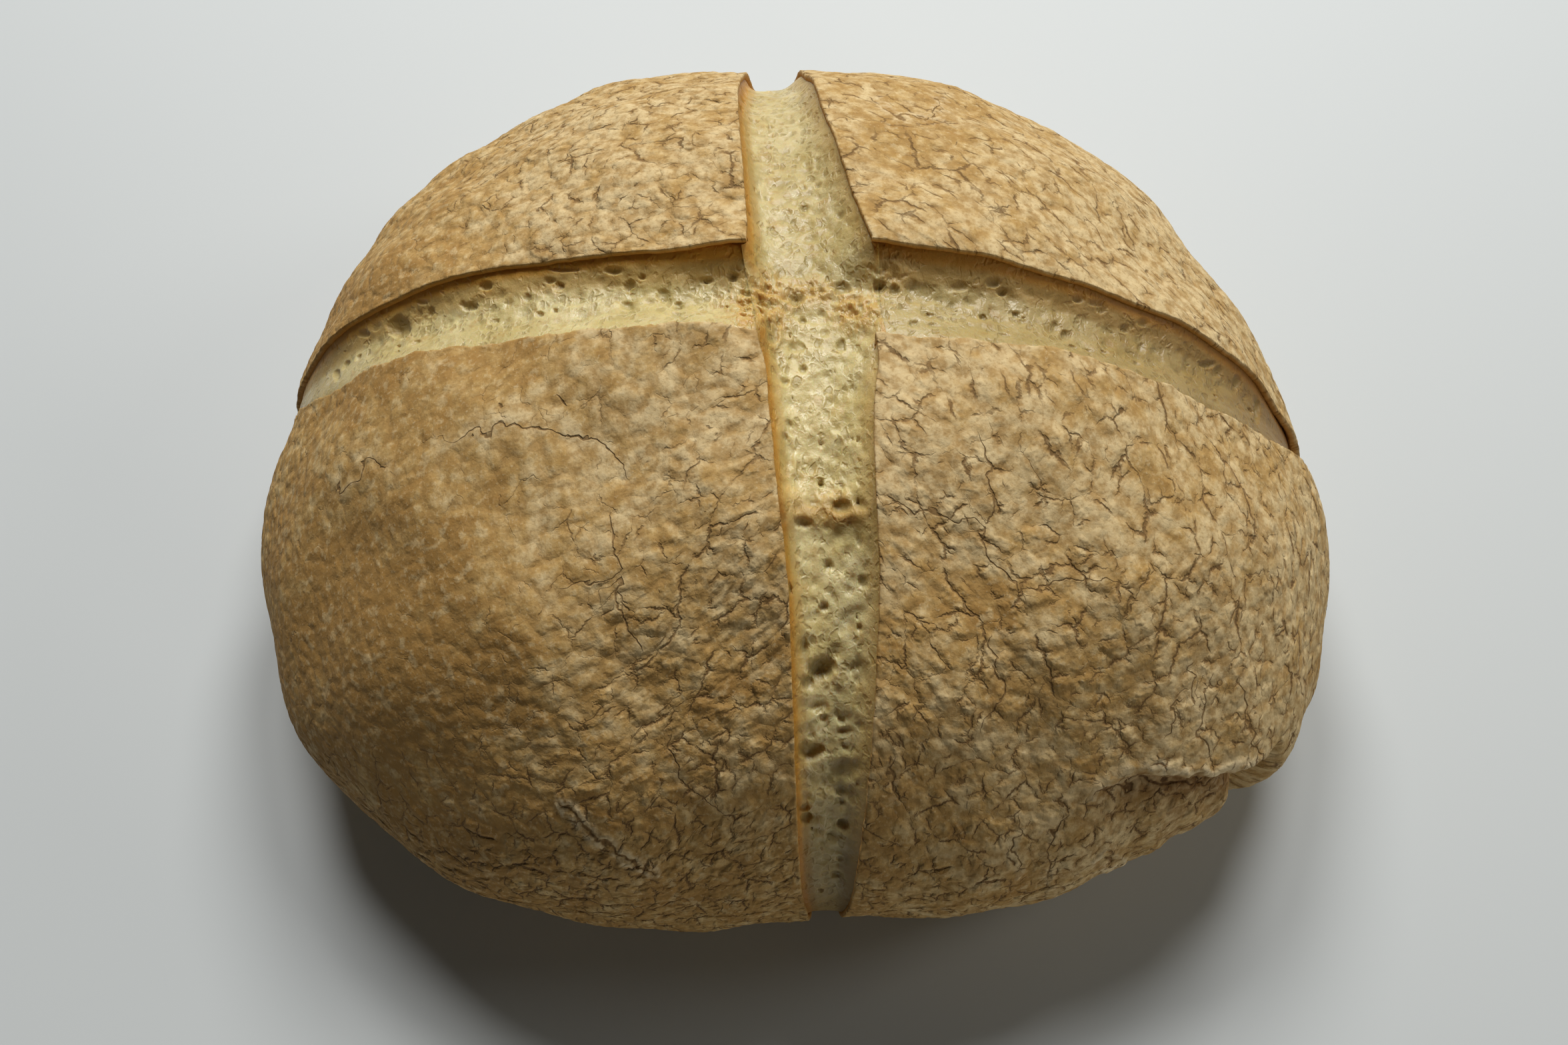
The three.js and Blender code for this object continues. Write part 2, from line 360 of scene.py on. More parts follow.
def makePiece(name, points, faces, attributes, material, slotName):
    # points that share a place are joined, faces that shrink to nothing are dropped, the rest face outwards
    keys = np.round(points * joinSteps).astype(np.int64)
    kept, joined = np.unique(keys, axis=0, return_index=True, return_inverse=True)[1:]
    faces = joined.ravel()[faces]
    flat = (faces == np.roll(faces, 1, axis=1)).any(axis=1)
    faces = faces[~flat]
    mesh = bpy.data.meshes.new(name)
    mesh.vertices.add(len(kept))
    mesh.vertices.foreach_set("co", (points[kept] * mm).astype(np.float32).ravel())
    mesh.loops.add(faces.size)
    mesh.loops.foreach_set("vertex_index", faces.astype(np.int32).ravel())
    mesh.polygons.add(len(faces))
    mesh.polygons.foreach_set("loop_start", np.arange(0, faces.size, 3, dtype=np.int32))
    mesh.update(calc_edges=True)
    shell = bmesh.new()
    shell.from_mesh(mesh)
    bmesh.ops.recalc_face_normals(shell, faces=shell.faces)
    shell.to_mesh(mesh)
    shell.free()
    mesh.polygons.foreach_set("use_smooth", np.ones(len(mesh.polygons), bool))
    mesh.set_sharp_from_angle(angle=np.radians(sharpAngle))
    for key, values in attributes.items():
        kind, field = ("FLOAT_VECTOR", "vector") if values.ndim == 2 else ("FLOAT", "value")
        layer = mesh.attributes.new(key, kind, "POINT")
        layer.data.foreach_set(field, values[kept].astype(np.float32).ravel())
    mesh.materials.append(material)
    piece = bpy.data.objects.new(name, mesh)
    bpy.context.scene.collection.objects.link(piece)
    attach(piece, "root")
    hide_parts("loaf")
    print(name, len(mesh.polygons), "triangles")


# crackled plates of the crust, in mm: two nets of cracks, each open in patches, and small round nodules
plates = dict(
    bend=2.6,
    bendNoise=(5.0, 4.0, 3.0, 0.64),
    edge=dict(size=7.6, patch=5.0, seed=5.0, opened=(0.43, 0.60), shift=(0.0, 0.0, 0.0)),
    small=dict(size=3.9, patch=3.6, seed=7.0, opened=(0.47, 0.62), shift=(131.0, 57.0, 0.0)),
    spread=0.11,  # how much more opens where the crust crackled more
    knobSize=2.5,
    knobBend=0.35,
    knobFall=1.7,
)


def plateNodes(tree, place):
    # the place is bent by a rough noise and cut into cells twice; gives the distance to each net's edges in
    # mm, each plate's own tone, how far the cracks there have opened, and the round tops of the nodules
    colour = noise(tree, place, *plates["bendNoise"], "Color")
    middle = vectorCalc(tree, "SUBTRACT", colour, (0.5, 0.5, 0.5))
    shift = vectorCalc(tree, "SCALE", middle, 2.0 * plates["bend"])
    bent = vectorCalc(tree, "ADD", place, shift)
    found = {}
    for name in ("edge", "small"):
        net = plates[name]
        at = vectorCalc(tree, "ADD", bent, net["shift"])
        found[name] = calc(tree, "MULTIPLY", cells(tree, at, net["size"], "DISTANCE_TO_EDGE"), net["size"])
        found[name + "Tone"] = cellTone(tree, at, net["size"])
        found[name + "Open"] = noise(tree, place, net["patch"], 2.0, net["seed"])
    slight = vectorCalc(tree, "ADD", place, vectorCalc(tree, "SCALE", shift, plates["knobBend"]))
    away = cells(tree, slight, plates["knobSize"])
    found["knob"] = calc(tree, "MULTIPLY_ADD", times(tree, away, away), -plates["knobFall"], 1.0)
    return found


# the crust's finish: sizes in metres with detail, seed and roughness; tones with the range of the noise that
# brings them in, their strength and colour; cracks with width, softness and strength; heights in mm
crustFinish = dict(
    noises=dict(
        broad=(0.034, 3.0, 1.0, 0.5),
        blotch=(0.0095, 3.0, 12.0, 0.6),
        mottle=(0.0050, 4.0, 2.0, 0.55),
        pebble=(0.0030, 3.0, 6.0, 0.45),
        spots=(0.0026, 3.0, 11.0, 0.55),
        grain=(0.0008, 3.0, 4.0, 0.6),
    ),
    caught=dict(broad=0.35, blotch=0.75, toast=0.45),
    pale=(0.655, 0.495, 0.255, 1),
    gold=(1.03, 1.36, 1.0, (0.51, 0.325, 0.112, 1)),
    brown=(1.26, 1.52, 0.85, (0.36, 0.19, 0.045, 1)),
    dark=(0.52, 0.36, 0.66, (0.38, 0.225, 0.07, 1)),
    flour=(0.53, 0.67, 0.45, (0.72, 0.565, 0.305, 1)),
    speck=(0.50, 0.32, 0.5, (0.32, 0.185, 0.06, 1)),
    dust=(0.54, 0.72, 0.45, (0.76, 0.61, 0.36, 1)),
    hair=0.03,
    soft=(2.0, 0.2),
    edgeCrack=(0.17, 1.1),
    smallCrack=(0.13, 0.9),
    splitSoft=(1.7, 0.3),
    beside=(0.40, 0.235, 0.075, 1),
    besideStrength=0.85,
    edgeBeside=(1.5, 0.0),
    smallBeside=(1.1, 0.0),
    smallAlways=0.45,
    besideSpots=(0.64, 0.42),
    # creases between nodules go brown: partly the crust's browning, partly painted shade
    crease=(0.55, 0.1),
    creaseSpots=(0.62, 0.42),
    creaseStrength=0.5,
    flake=(0.36, 0.56, 0.9, (0.74, 0.60, 0.37, 1)),
    crack=(0.20, 0.11, 0.036, 1),
    crackStrength=0.85,
    shade=(0.52, 0.42, 0.30, 1),
    # the torn edge's own brown, made lighter to stand in for light bounced into the shade under the lips:
    # painted bounce light
    cut=(0.50, 0.26, 0.06, 1),
    edgeDome=(0.0, 1.3),
    smallDome=(-0.1, 1.2),
    heights=dict(edge=0.2, small=0.24, edgeTone=0.14, smallTone=0.12, pebble=0.5, spots=0.24, grain=0.12,
                 cracks=-0.2, knob=0.3),
    bump=0.95,
    roughness=0.8,
    specular=0.25,
)


def crackLine(tree, distance, opened, width, strength):
    # dark within a width that grows, as its strength does, where the crack has opened
    wide = calc(tree, "MULTIPLY_ADD", opened, width, crustFinish["hair"])
    line = ramp(tree, calc(tree, "DIVIDE", distance, wide), *crustFinish["soft"])
    return times(tree, line, calc(tree, "MULTIPLY_ADD", opened, strength, crustFinish["hair"]))


def crustMaterial():
    # floury tan that goes gold and brown where the crust has caught, with specks, cracks and torn edges on it
    look = crustFinish
    material, tree = emptyMaterial("crust")
    around = addNode(tree, "ShaderNodeTexCoord").outputs["Object"]
    found = noises(tree, around, look["noises"])
    spots, grain = found["spots"], found["grain"]
    plate = plateNodes(tree, attribute(tree, "plateCo", "Vector"))
    crackle = attribute(tree, "crackle")
    knobs = attribute(tree, "knobs")
    more = calc(tree, "MULTIPLY_ADD", crackle, plates["spread"], -plates["spread"])

    def openness(net):  # how far the cracks of a net have opened
        level = calc(tree, "ADD", plate[net + "Open"], more)
        return times(tree, ramp(tree, level, *plates[net]["opened"]), crackle)

    opened = openness("edge")
    smallOpened = openness("small")
    caught = addShares(
        tree, found["mottle"],
        (found["broad"], look["caught"]["broad"]),
        (found["blotch"], look["caught"]["blotch"]),
        (attribute(tree, "toast"), look["caught"]["toast"]),
    )
    colour = look["pale"]
    for value, key in (
        (caught, "gold"),
        (caught, "brown"),
        (spots, "dark"),
        (spots, "flour"),
        (grain, "speck"),
        (grain, "dust"),
    ):
        colour = tint(tree, colour, value, *look[key])

    # cracks: thin soft brown lines with gold beside them, wider where the crust has opened
    line = crackLine(tree, plate["edge"], opened, *look["edgeCrack"])
    small = crackLine(tree, plate["small"], smallOpened, *look["smallCrack"])
    wide = calc(tree, "ADD", attribute(tree, "splitWide"), tiny)
    split = calc(tree, "DIVIDE", calc(tree, "ABSOLUTE", attribute(tree, "splitSide")), wide)
    split = ramp(tree, split, *look["splitSoft"])
    cracks = calc(tree, "MAXIMUM", calc(tree, "MAXIMUM", line, small), split)
    smallMost = calc(tree, "MULTIPLY_ADD", smallOpened, 1.0 - look["smallAlways"], look["smallAlways"])
    beside = calc(
        tree, "MAXIMUM",
        times(tree, ramp(tree, plate["edge"], *look["edgeBeside"]), opened),
        times(tree, ramp(tree, plate["small"], *look["smallBeside"]), smallMost),
    )
    beside = times(tree, beside, ramp(tree, spots, *look["besideSpots"]), look["besideStrength"])
    colour = blend(tree, beside, colour, look["beside"])
    # brown in the creases between the nodules: partly the crust's browning, partly painted shade
    crease = times(tree, ramp(tree, plate["knob"], *look["crease"]), knobs)
    crease = times(tree, crease, ramp(tree, spots, *look["creaseSpots"]), look["creaseStrength"])
    colour = blend(tree, crease, colour, look["beside"])
    low, high, strength, tone = look["flake"]
    flake = times(tree, attribute(tree, "splitPale"), ramp(tree, spots, low, high), strength)
    colour = blend(tree, flake, colour, tone)
    colour = blend(tree, times(tree, cracks, look["crackStrength"]), colour, look["crack"])
    colour = blend(tree, attribute(tree, "shade"), colour, look["shade"], "MULTIPLY")
    colour = blend(tree, attribute(tree, "cut"), colour, look["cut"])

    heights = look["heights"]
    domed = calc(tree, "MAXIMUM", smallOpened, knobs)
    height = addShares(
        tree, times(tree, ramp(tree, plate["edge"], *look["edgeDome"]), opened, heights["edge"]),
        (times(tree, ramp(tree, plate["small"], *look["smallDome"]), domed), heights["small"]),
        (times(tree, plate["edgeTone"], opened), heights["edgeTone"]),
        (times(tree, plate["smallTone"], smallOpened), heights["smallTone"]),
        (times(tree, found["pebble"], attribute(tree, "pucker")), heights["pebble"]),
        (spots, heights["spots"]),
        (grain, heights["grain"]),
        (cracks, heights["cracks"]),
        (times(tree, plate["knob"], knobs), heights["knob"]),
    )
    closeMaterial(tree, height, look["bump"], {
        "Base Color": colour,
        "Roughness": look["roughness"],
        "Specular IOR Level": look["specular"],
    })
    return material


# the crumb's finish, in the same way as the crust's
crumbFinish = dict(
    noises=dict(
        broad=(0.011, 3.0, 5.0, 0.5),
        mottle=(0.0040, 4.0, 2.0, 0.6),
        filmPatch=(0.0036, 3.0, 9.0, 0.5),
        fleck=(0.0030, 3.0, 10.0, 0.6),
        grain=(0.0006, 3.0, 3.0, 0.6),
    ),
    streakPull=(1.0, 0.3, 0.6),
    streakNoise=(0.0009, 3.0, 7.0),
    bubblePull=(1.0, 0.62, 0.8),
    bubbleBend=0.0022,
    bubbleBendNoise=(0.0022, 2.0, 8.0, 0.5),
    bubbleSize=0.0015,
    bubbleEdge=(0.03, 0.28),
    bubbleDark=(0.35, 0.95),
    filmEdge=(0.15, 0.0),
    filmPatch=(0.45, 0.62),
    wander=0.6,  # how far the edges of the gold and brown wander
    wanderFrom=(0.0, 0.4),
    cream=(0.68, 0.56, 0.24, 1),
    light=(0.35, 0.65, 1.0, (0.82, 0.715, 0.38, 1)),
    # olive: partly the crumb's own tone, partly painted shade in its hollows
    olive=(0.52, 0.34, 0.6, (0.50, 0.40, 0.16, 1)),
    # painted shade: darker inside some bubbles, where the hollow lies in shade
    bubble=(0.6, (0.42, 0.325, 0.125, 1)),
    fleck=(0.54, 0.68, 0.6, (0.58, 0.40, 0.14, 1)),
    film=(0.4, (0.90, 0.83, 0.56, 1)),
    speck=(0.50, 0.28, 0.25, (0.45, 0.34, 0.13, 1)),
    gold=(0.0, 1.0, 0.85, (0.59, 0.385, 0.115, 1)),
    # the brown under the lips is the crumb's toasted tone, made lighter to stand in for light bounced into
    # the shade there: painted bounce light
    brown=(0.0, 1.0, 1.0, (0.80, 0.41, 0.06, 1)),
    torn=(0.30, 0.56, 1.0, (0.66, 0.42, 0.12, 1)),
    tornDark=(0.42, 0.30, 0.3, (0.42, 0.23, 0.05, 1)),
    # painted shade: multiplied in where the crumb is darker towards the ends of the arms and under the
    # upright lips; the amber ridge also takes it for its own darker tone
    paintedShadeAndAmber=(0.29, 0.215, 0.095, 1),
    # painted shade: the dark inside of pores and of the deeper holes
    pore=(0.5, (0.34, 0.245, 0.085, 1)),
    heights=dict(film=0.05, bubble=-0.28, mottle=0.8, grain=0.12, torn=0.8),
    bump=0.65,
    roughness=0.42,
    goldRough=0.15,
    goldRoughFrom=(0.2, 0.9),
    filmRough=-0.15,
    specular=0.5,
    subsurface=0.45,
    subsurfaceRadius=(1.0, 0.6, 0.25),
    subsurfaceScale=0.003,
)


def crumbMaterial():
    # cream foam, olive in its hollows as its own tone and painted shade, gold up the walls, brown under the
    # lips lightened as painted bounce light, orange where it tore, darker with painted shade along the arms;
    # bubbles are drawn out from lip to lip, some of them dark inside with painted shade, with pale films
    # between them; pores and holes get painted shade too
    look = crumbFinish
    material, tree = emptyMaterial("crumb")
    around = addNode(tree, "ShaderNodeTexCoord").outputs["Object"]
    found = noises(tree, around, look["noises"])
    mottle, grain = found["mottle"], found["grain"]
    streak = noise(tree, vectorCalc(tree, "MULTIPLY", around, look["streakPull"]), *look["streakNoise"])
    bend = noise(tree, around, *look["bubbleBendNoise"], "Color")
    bend = vectorCalc(tree, "SCALE", bend, look["bubbleBend"])
    drawn = vectorCalc(tree, "ADD", vectorCalc(tree, "MULTIPLY", around, look["bubblePull"]), bend)
    edge = cells(tree, drawn, look["bubbleSize"], "DISTANCE_TO_EDGE", shape="3D")
    own = cellTone(tree, drawn, look["bubbleSize"], "3D")
    bubble = times(tree, ramp(tree, edge, *look["bubbleEdge"]), ramp(tree, own, *look["bubbleDark"]))
    filmPatch = ramp(tree, found["filmPatch"], *look["filmPatch"])
    film = times(tree, ramp(tree, edge, *look["filmEdge"]), filmPatch)
    wander = calc(tree, "MULTIPLY_ADD", mottle, look["wander"], -look["wander"] / 2)
    gold, brown = (
        calc(tree, "ADD", value, times(tree, wander, ramp(tree, value, *look["wanderFrom"])))
        for value in (attribute(tree, "gold"), attribute(tree, "brown"))
    )
    torn = attribute(tree, "torn")

    def lay(colour, value, strength, tone):  # towards a tone by a value and its strength
        return blend(tree, times(tree, value, strength), colour, tone)

    def layTorn(colour, low, high, strength, tone):  # towards a tone in the streaks of the torn places
        return blend(tree, times(tree, torn, ramp(tree, streak, low, high), strength), colour, tone)

    colour = tint(tree, look["cream"], found["broad"], *look["light"])
    # the mottle also sets the relief, so the hollows go olive: partly the crumb's own tone, partly painted
    # shade
    colour = tint(tree, colour, mottle, *look["olive"])
    # painted shade inside some bubbles
    colour = lay(colour, bubble, *look["bubble"])
    colour = tint(tree, colour, found["fleck"], *look["fleck"])
    colour = lay(colour, film, *look["film"])
    colour = tint(tree, colour, grain, *look["speck"])
    colour = tint(tree, colour, gold, *look["gold"])
    colour = tint(tree, colour, brown, *look["brown"])
    colour = layTorn(colour, *look["torn"])
    colour = layTorn(colour, *look["tornDark"])
    # painted shade along the arms and under the upright lips, and the amber ridge's own darker tone
    colour = blend(tree, attribute(tree, "paintedShadeAndAmber"), colour, look["paintedShadeAndAmber"], "MULTIPLY")
    # painted shade inside pores and holes
    colour = lay(colour, attribute(tree, "pore"), *look["pore"])

    heights = look["heights"]
    height = addShares(
        tree, times(tree, film, heights["film"]),
        (bubble, heights["bubble"]),
        (mottle, heights["mottle"]),
        (grain, heights["grain"]),
        (times(tree, streak, torn), heights["torn"]),
    )
    rough = addShares(
        tree, look["roughness"],
        (ramp(tree, gold, *look["goldRoughFrom"]), look["goldRough"]),
        (film, look["filmRough"]),
    )
    closeMaterial(tree, height, look["bump"], {
        "Base Color": colour,
        "Roughness": rough,
        "Specular IOR Level": look["specular"],
        "Subsurface Weight": look["subsurface"],
        "Subsurface Radius": look["subsurfaceRadius"],
        "Subsurface Scale": look["subsurfaceScale"],
    })
    return material


# the pleat low down at the front right, where the dough was closed: angles round the disc in degrees, depths
# in mm, and the way down of its upper edge
pleatFold = dict(
    depths=((-66.0, -50.0, 2.6), (-46.0, -40.5, 4.2)),
    end=(-38.5, -36.5),
    ledge=(0.565, 0.665),
    ledgeTurn=(-56.0, -38.0),
    edge=(0.15, 0.02),
    edgeTurn=(-68.0, -58.0),
    tornDepth=2.6,
    tornEnd=(-41.0, -39.0),
    ragged=0.04,
    rim=0.5,
    rimHalf=0.009,
    hollow=1.0,
    hollowFrom=(-0.004, 0.012),
    hollowTo=(0.02, 0.10),
    fold=0.3,
    foldTurn=5.0,
    foldStray=5.0,
    foldFrom=(0.02, 0.08),
    foldTo=(0.22, 0.36),
    foldEnd=(-46.0, -41.0),
    foldShade=0.4,
)

# broad bulges: angle, way down, half angle, half way, height in mm
bulges = ((-18.0, 0.72, 15.0, 0.22, 1.8), (6.0, 0.70, 7.0, 0.12, 1.2))


def discAngle(x, y):  # angle round the disc in degrees
    return np.degrees(np.arctan2(y, x))


def pleatAt(angle, way):
    # how deep the pleat is set in at an angle, how softly it starts, and the way below its slanting ledge
    depth = sum(change * smooth(low, high, angle) for low, high, change in pleatFold["depths"])
    depth = depth * (1.0 - smooth(*pleatFold["end"], angle))
    ledge = mix(*pleatFold["ledge"], smooth(*pleatFold["ledgeTurn"], angle))
    edge = mix(*pleatFold["edge"], smooth(*pleatFold["edgeTurn"], angle))
    return depth, edge, way - ledge


def pleat(x, y, way):  # below a slanting ledge the crust is set in, down to the foot
    depth, edge, below = pleatAt(discAngle(x, y), way)
    return -depth * smooth(0.0, 1.0, below / edge)


def pleatTear(x, y, way, jag):
    # a raised torn rim along the ledge, a hollow in shade under it, and upright folds that die away below
    angle = discAngle(x, y)
    depth, _, below = pleatAt(angle, way)
    share = np.clip(depth / pleatFold["tornDepth"], 0.0, 1.0) * (1.0 - smooth(*pleatFold["tornEnd"], angle))
    below = below + pleatFold["ragged"] * jag
    rim = share * bell(below + pleatFold["rimHalf"], pleatFold["rimHalf"])
    hollow = smooth(*pleatFold["hollowFrom"], below) * (1.0 - smooth(*pleatFold["hollowTo"], below))
    shade = share * hollow
    folds = share * smooth(*pleatFold["foldFrom"], below) * (1.0 - smooth(*pleatFold["foldTo"], below))
    waves = np.sin(2 * np.pi * angle / pleatFold["foldTurn"] + pleatFold["foldStray"] * jag)
    folds = folds * (1.0 - smooth(*pleatFold["foldEnd"], angle)) * waves
    relief = pleatFold["rim"] * rim - pleatFold["hollow"] * shade + pleatFold["fold"] * folds
    return relief, rim, shade + pleatFold["foldShade"] * np.clip(-folds, 0.0, 1.0)


def bulge(x, y, way):  # a sum of bell curves over angle and way
    angle = discAngle(x, y)
    total = 0.0
    for middle, down, halfAngle, halfWay, height in bulges:
        total = total + height * bell(angle - middle, halfAngle) * bell(way - down, halfWay)
    return total


# the four lobes of crust: their grid and the torn edge along the cuts, in mm
lobes = dict(
    sides=dict(frontLeft=(-1, -1), frontRight=(1, -1), backLeft=(-1, 1), backRight=(1, 1)),
    lines=262,
    ease=1.1,
    baseRings=6,
    edgeOut=(-2.6, -1.2, -0.2, 0.15, 0.26, 0.25, 0.14),  # towards the cut
    edgeDrop=(1.9, 1.8, 1.55, 1.15, 0.75, 0.35, 0.09),  # below the lip
    edgeEnd=(0.97, 1.0),
    edgeFace=(0.05, 0.9),
    edgeTone=dict(left=0.9, right=0.9, front=0.3, back=1.0),
    overhang=dict(left=1.0, right=1.0, front=0.4, back=0.7),
    thickEnd=dict(front=0.0, back=0.5),  # the torn edge grows thicker towards the ends of the cut
    thickRun=(0.62, 0.82),
    ripple=dict(left=0.9, right=0.9, front=3.8, back=0.8),
    rippleNoise=(5.0, 4.0, 21.0, 0.68),
    rippleLength=150.0,
    rippleRows=40.0,
    rippleApart=5,
    lipShift=dict(left=0.0, right=0.0, front=0.0, back=0.2),
    cornerRound=dict(frontLeft=1.0, frontRight=-0.8, backLeft=0.2, backRight=0.2),
    cornerRun=4.0,
    baseToast=0.6,
)

# relief of the crust in mm, and how strongly each lobe has crackled; low is the foot of the front
relief = dict(
    arc=185.0,  # mm from crown to foot
    plateShift=(400.0, 400.0, 0.0),
    grain=dict(frontLeft=(-115, 1.2), frontRight=(-65, 1.25), backLeft=(0, 1.0), backRight=(-45, 1.5)),
    noises=dict(
        pebble=(3.2, 3.0, 6.0),
        lump=(12.0, 2.0, 9.0),
        jagU=(3.6, 3.0, 14.0),
        jagV=(3.6, 3.0, 15.0),
    ),
    jag=60.0,  # picture points by which the listed places are made ragged
    lowWay=(0.25, 0.6),
    lowFront=(20.0, -60.0),
    crackle=dict(frontLeft=0.95, frontRight=0.95, backLeft=0.95, backRight=0.93),
    crackleLow=dict(frontLeft=1.1, frontRight=1.0, backLeft=1.0, backRight=1.02),
    pucker=dict(frontLeft=0.36, frontRight=0.36, backLeft=0.55, backRight=0.55),
    puckerLow=0.2,
    knobs=dict(frontLeft=0.65, frontRight=0.4, backLeft=0.7, backRight=0.6),
    knobsLow=0.3,
    calmKnobs=0.4,
    plateDome=0.12,
    smallRise=(0.0, 1.3),
    edgeRise=(0.0, 1.6),
    edgeDome=0.5,
    ledge=0.14,
    smallLedge=0.6,
    crackDepth=0.08,
    crackHalf=0.3,
    pebble=0.28,
    lump=0.38,
    knob=0.2,
    splitDepth=0.8,
    splitHalf=0.5,
    splitRim=0.35,
    rimAway=(2.2, 0.25),  # half widths of the crack, and mm
    rimHalf=0.5,
    noSplit=9.0,
    pointsPerMm=7.4,
)

# long cracks: half width in mm, strength of the pale torn rim, then points of the picture
longCracks = dict(
    frontLeft=(
        (0.20, 0.3, (663, 665), (768, 643), (852, 649), (913, 671), (935, 710), (946, 726)),
        (0.22, 0.15, (907, 763), (924, 810), (938, 862), (929, 893), (938, 943), (963, 982)),
        (0.17, 0.1, (938, 862), (852, 885), (829, 879)),
        (0.20, 0.2, (1001, 1098), (1018, 1159), (1026, 1176), (1085, 1215)),
        (0.18, 0.3, (499, 743), (552, 707), (566, 693), (594, 707)),
        (0.40, 0.0, (835, 592), (842, 601)),
        (0.35, 0.0, (757, 612), (763, 618)),
        (0.24, 1.0, (841, 1193), (868, 1222), (900, 1250), (945, 1284), (990, 1309)),
    ),
    frontRight=(
        (0.21, 0.1, (1468, 651), (1490, 708), (1479, 787), (1490, 844), (1527, 878), (1542, 906)),
        (0.19, 0.2, (1490, 952), (1502, 1042), (1468, 1099)),
        (0.17, 0.1, (1326, 759), (1400, 770), (1479, 787)),
        (0.17, 0.1, (1525, 900), (1604, 869), (1689, 878)),
        (0.22, 0.4, (1605, 1215), (1578, 1250), (1570, 1285), (1568, 1318)),
        (0.18, 0.3, (1534, 1230), (1523, 1262), (1522, 1298)),
        (0.18, 0.3, (1795, 1000), (1787, 1030), (1790, 1055)),
        (0.18, 0.2, (1770, 1047), (1755, 1075), (1752, 1110)),
        (0.20, 0.3, (1825, 1010), (1805, 1055), (1800, 1100), (1810, 1135)),
        (0.20, 0.3, (1855, 1010), (1867, 1065), (1870, 1115), (1887, 1140)),
        (0.16, 0.2, (1935, 1010), (1950, 1045)),
        (0.30, 1.0, (1834, 1180), (1770, 1185), (1713, 1182), (1690, 1192), (1648, 1200)),
        (0.22, 0.3, (1337, 1130), (1333, 1156), (1340, 1185)),
        (0.80, 1.0, (1660, 1290), (1667, 1296), (1673, 1303)),
    ),
    backLeft=(),
    backRight=(
        (0.25, 0.6, (1318, 160), (1345, 178), (1390, 180), (1412, 160)),
    ),
)

# calm places where the crust has hardly cracked: place and half width in the picture, strength
calmPlaces = (
    (600, 760, 240, 0.75), (520, 960, 190, 0.6), (860, 600, 160, 0.5), (560, 430, 170, 0.7),
    (700, 1010, 160, 0.4),
)

# blotches of gold, paler where negative: place and half width in the picture, strength
goldPlaces = (
    (620, 860, 75, 0.45), (640, 1050, 70, 0.4), (750, 1000, 60, 0.35), (530, 960, 80, 0.3),
    (1000, 1250, 70, 0.35), (1080, 1040, 55, 0.35), (1480, 900, 60, 0.4), (1590, 890, 55, 0.4),
    (1640, 1020, 65, 0.4), (1350, 210, 70, 0.35), (560, 470, 80, 0.25), (1340, 640, 140, -0.5),
    (900, 680, 130, -0.25), (1480, 760, 130, -0.2), (1810, 430, 120, -0.35), (1690, 330, 130, -0.2),
    (1870, 880, 130, -0.3), (900, 190, 150, -0.3), (850, 320, 150, -0.25),
)

# gold over the whole crust: mm over which each side comes in, and how much it adds
toasting = dict(
    even=0.28,
    left=(-10.0, -100.0),
    leftMore=0.5,
    front=(-25.0, -105.0),
    frontMore=0.3,
    right=(10.0, 90.0),
    rightLess=0.02,
    most=1.2,
)


def crackDistance(places, path):
    # signed distance in picture points to a bent line, and the share of the way along it
    best = np.full(len(places), 1e6)
    share = np.zeros(len(places))
    path = np.array(path, float)
    lengths = np.linalg.norm(np.diff(path, axis=0), axis=1)
    starts = np.concatenate([[0.0], np.cumsum(lengths)])
    for start, stop, length, before in zip(path[:-1], path[1:], lengths, starts):
        along = (stop - start) / length
        offset = places - start
        run = np.clip(offset @ along, 0.0, length)
        distance = np.linalg.norm(offset - run[:, None] * along, axis=1)
        side = np.where(offset[:, 0] * along[1] - offset[:, 1] * along[0] < 0, -1.0, 1.0)
        nearer = distance < np.abs(best)
        best = np.where(nearer, side * distance, best)
        share = np.where(nearer, (before + run) / starts[-1], share)
    return best, share


def longSplits(name, places):
    # signed distance in mm to the nearest long crack, its half width tapering to both ends, its pale rims
    side = np.full(len(places), relief["noSplit"])
    wide = np.zeros(len(places))
    pale = np.zeros(len(places))
    for half, strength, *path in longCracks[name]:
        distance, share = crackDistance(places, path)
        distance = distance / relief["pointsPerMm"]
        nearer = np.abs(distance) < np.abs(side)
        side = np.where(nearer, distance, side)
        wide = np.where(nearer, half * np.sqrt(np.clip(4 * share * (1 - share), 0, 1)), wide)
        rimAway = relief["rimAway"][0] * half + relief["rimAway"][1]
        pale = np.maximum(pale, strength * bell(np.abs(distance) - rimAway, relief["rimHalf"]))
    return side, wide, pale


def placeBell(places, u, v, half):  # a bell curve round a place of the picture
    return bell(np.hypot(places[:, 0] - u, places[:, 1] - v), half)


def golden(points, places):  # more gold to the left and low at the front, less to the right, and the blotches
    left = smooth(*toasting["left"], points[:, 0])
    front = smooth(*toasting["front"], points[:, 1])
    right = smooth(*toasting["right"], points[:, 0])
    toast = toasting["even"] + toasting["leftMore"] * left
    toast = toast + toasting["frontMore"] * front * (1.0 - right) - toasting["rightLess"] * right
    for u, v, half, strength in goldPlaces:
        toast = toast + strength * placeBell(places, u, v, half)
    return np.clip(toast, 0.0, toasting["most"])


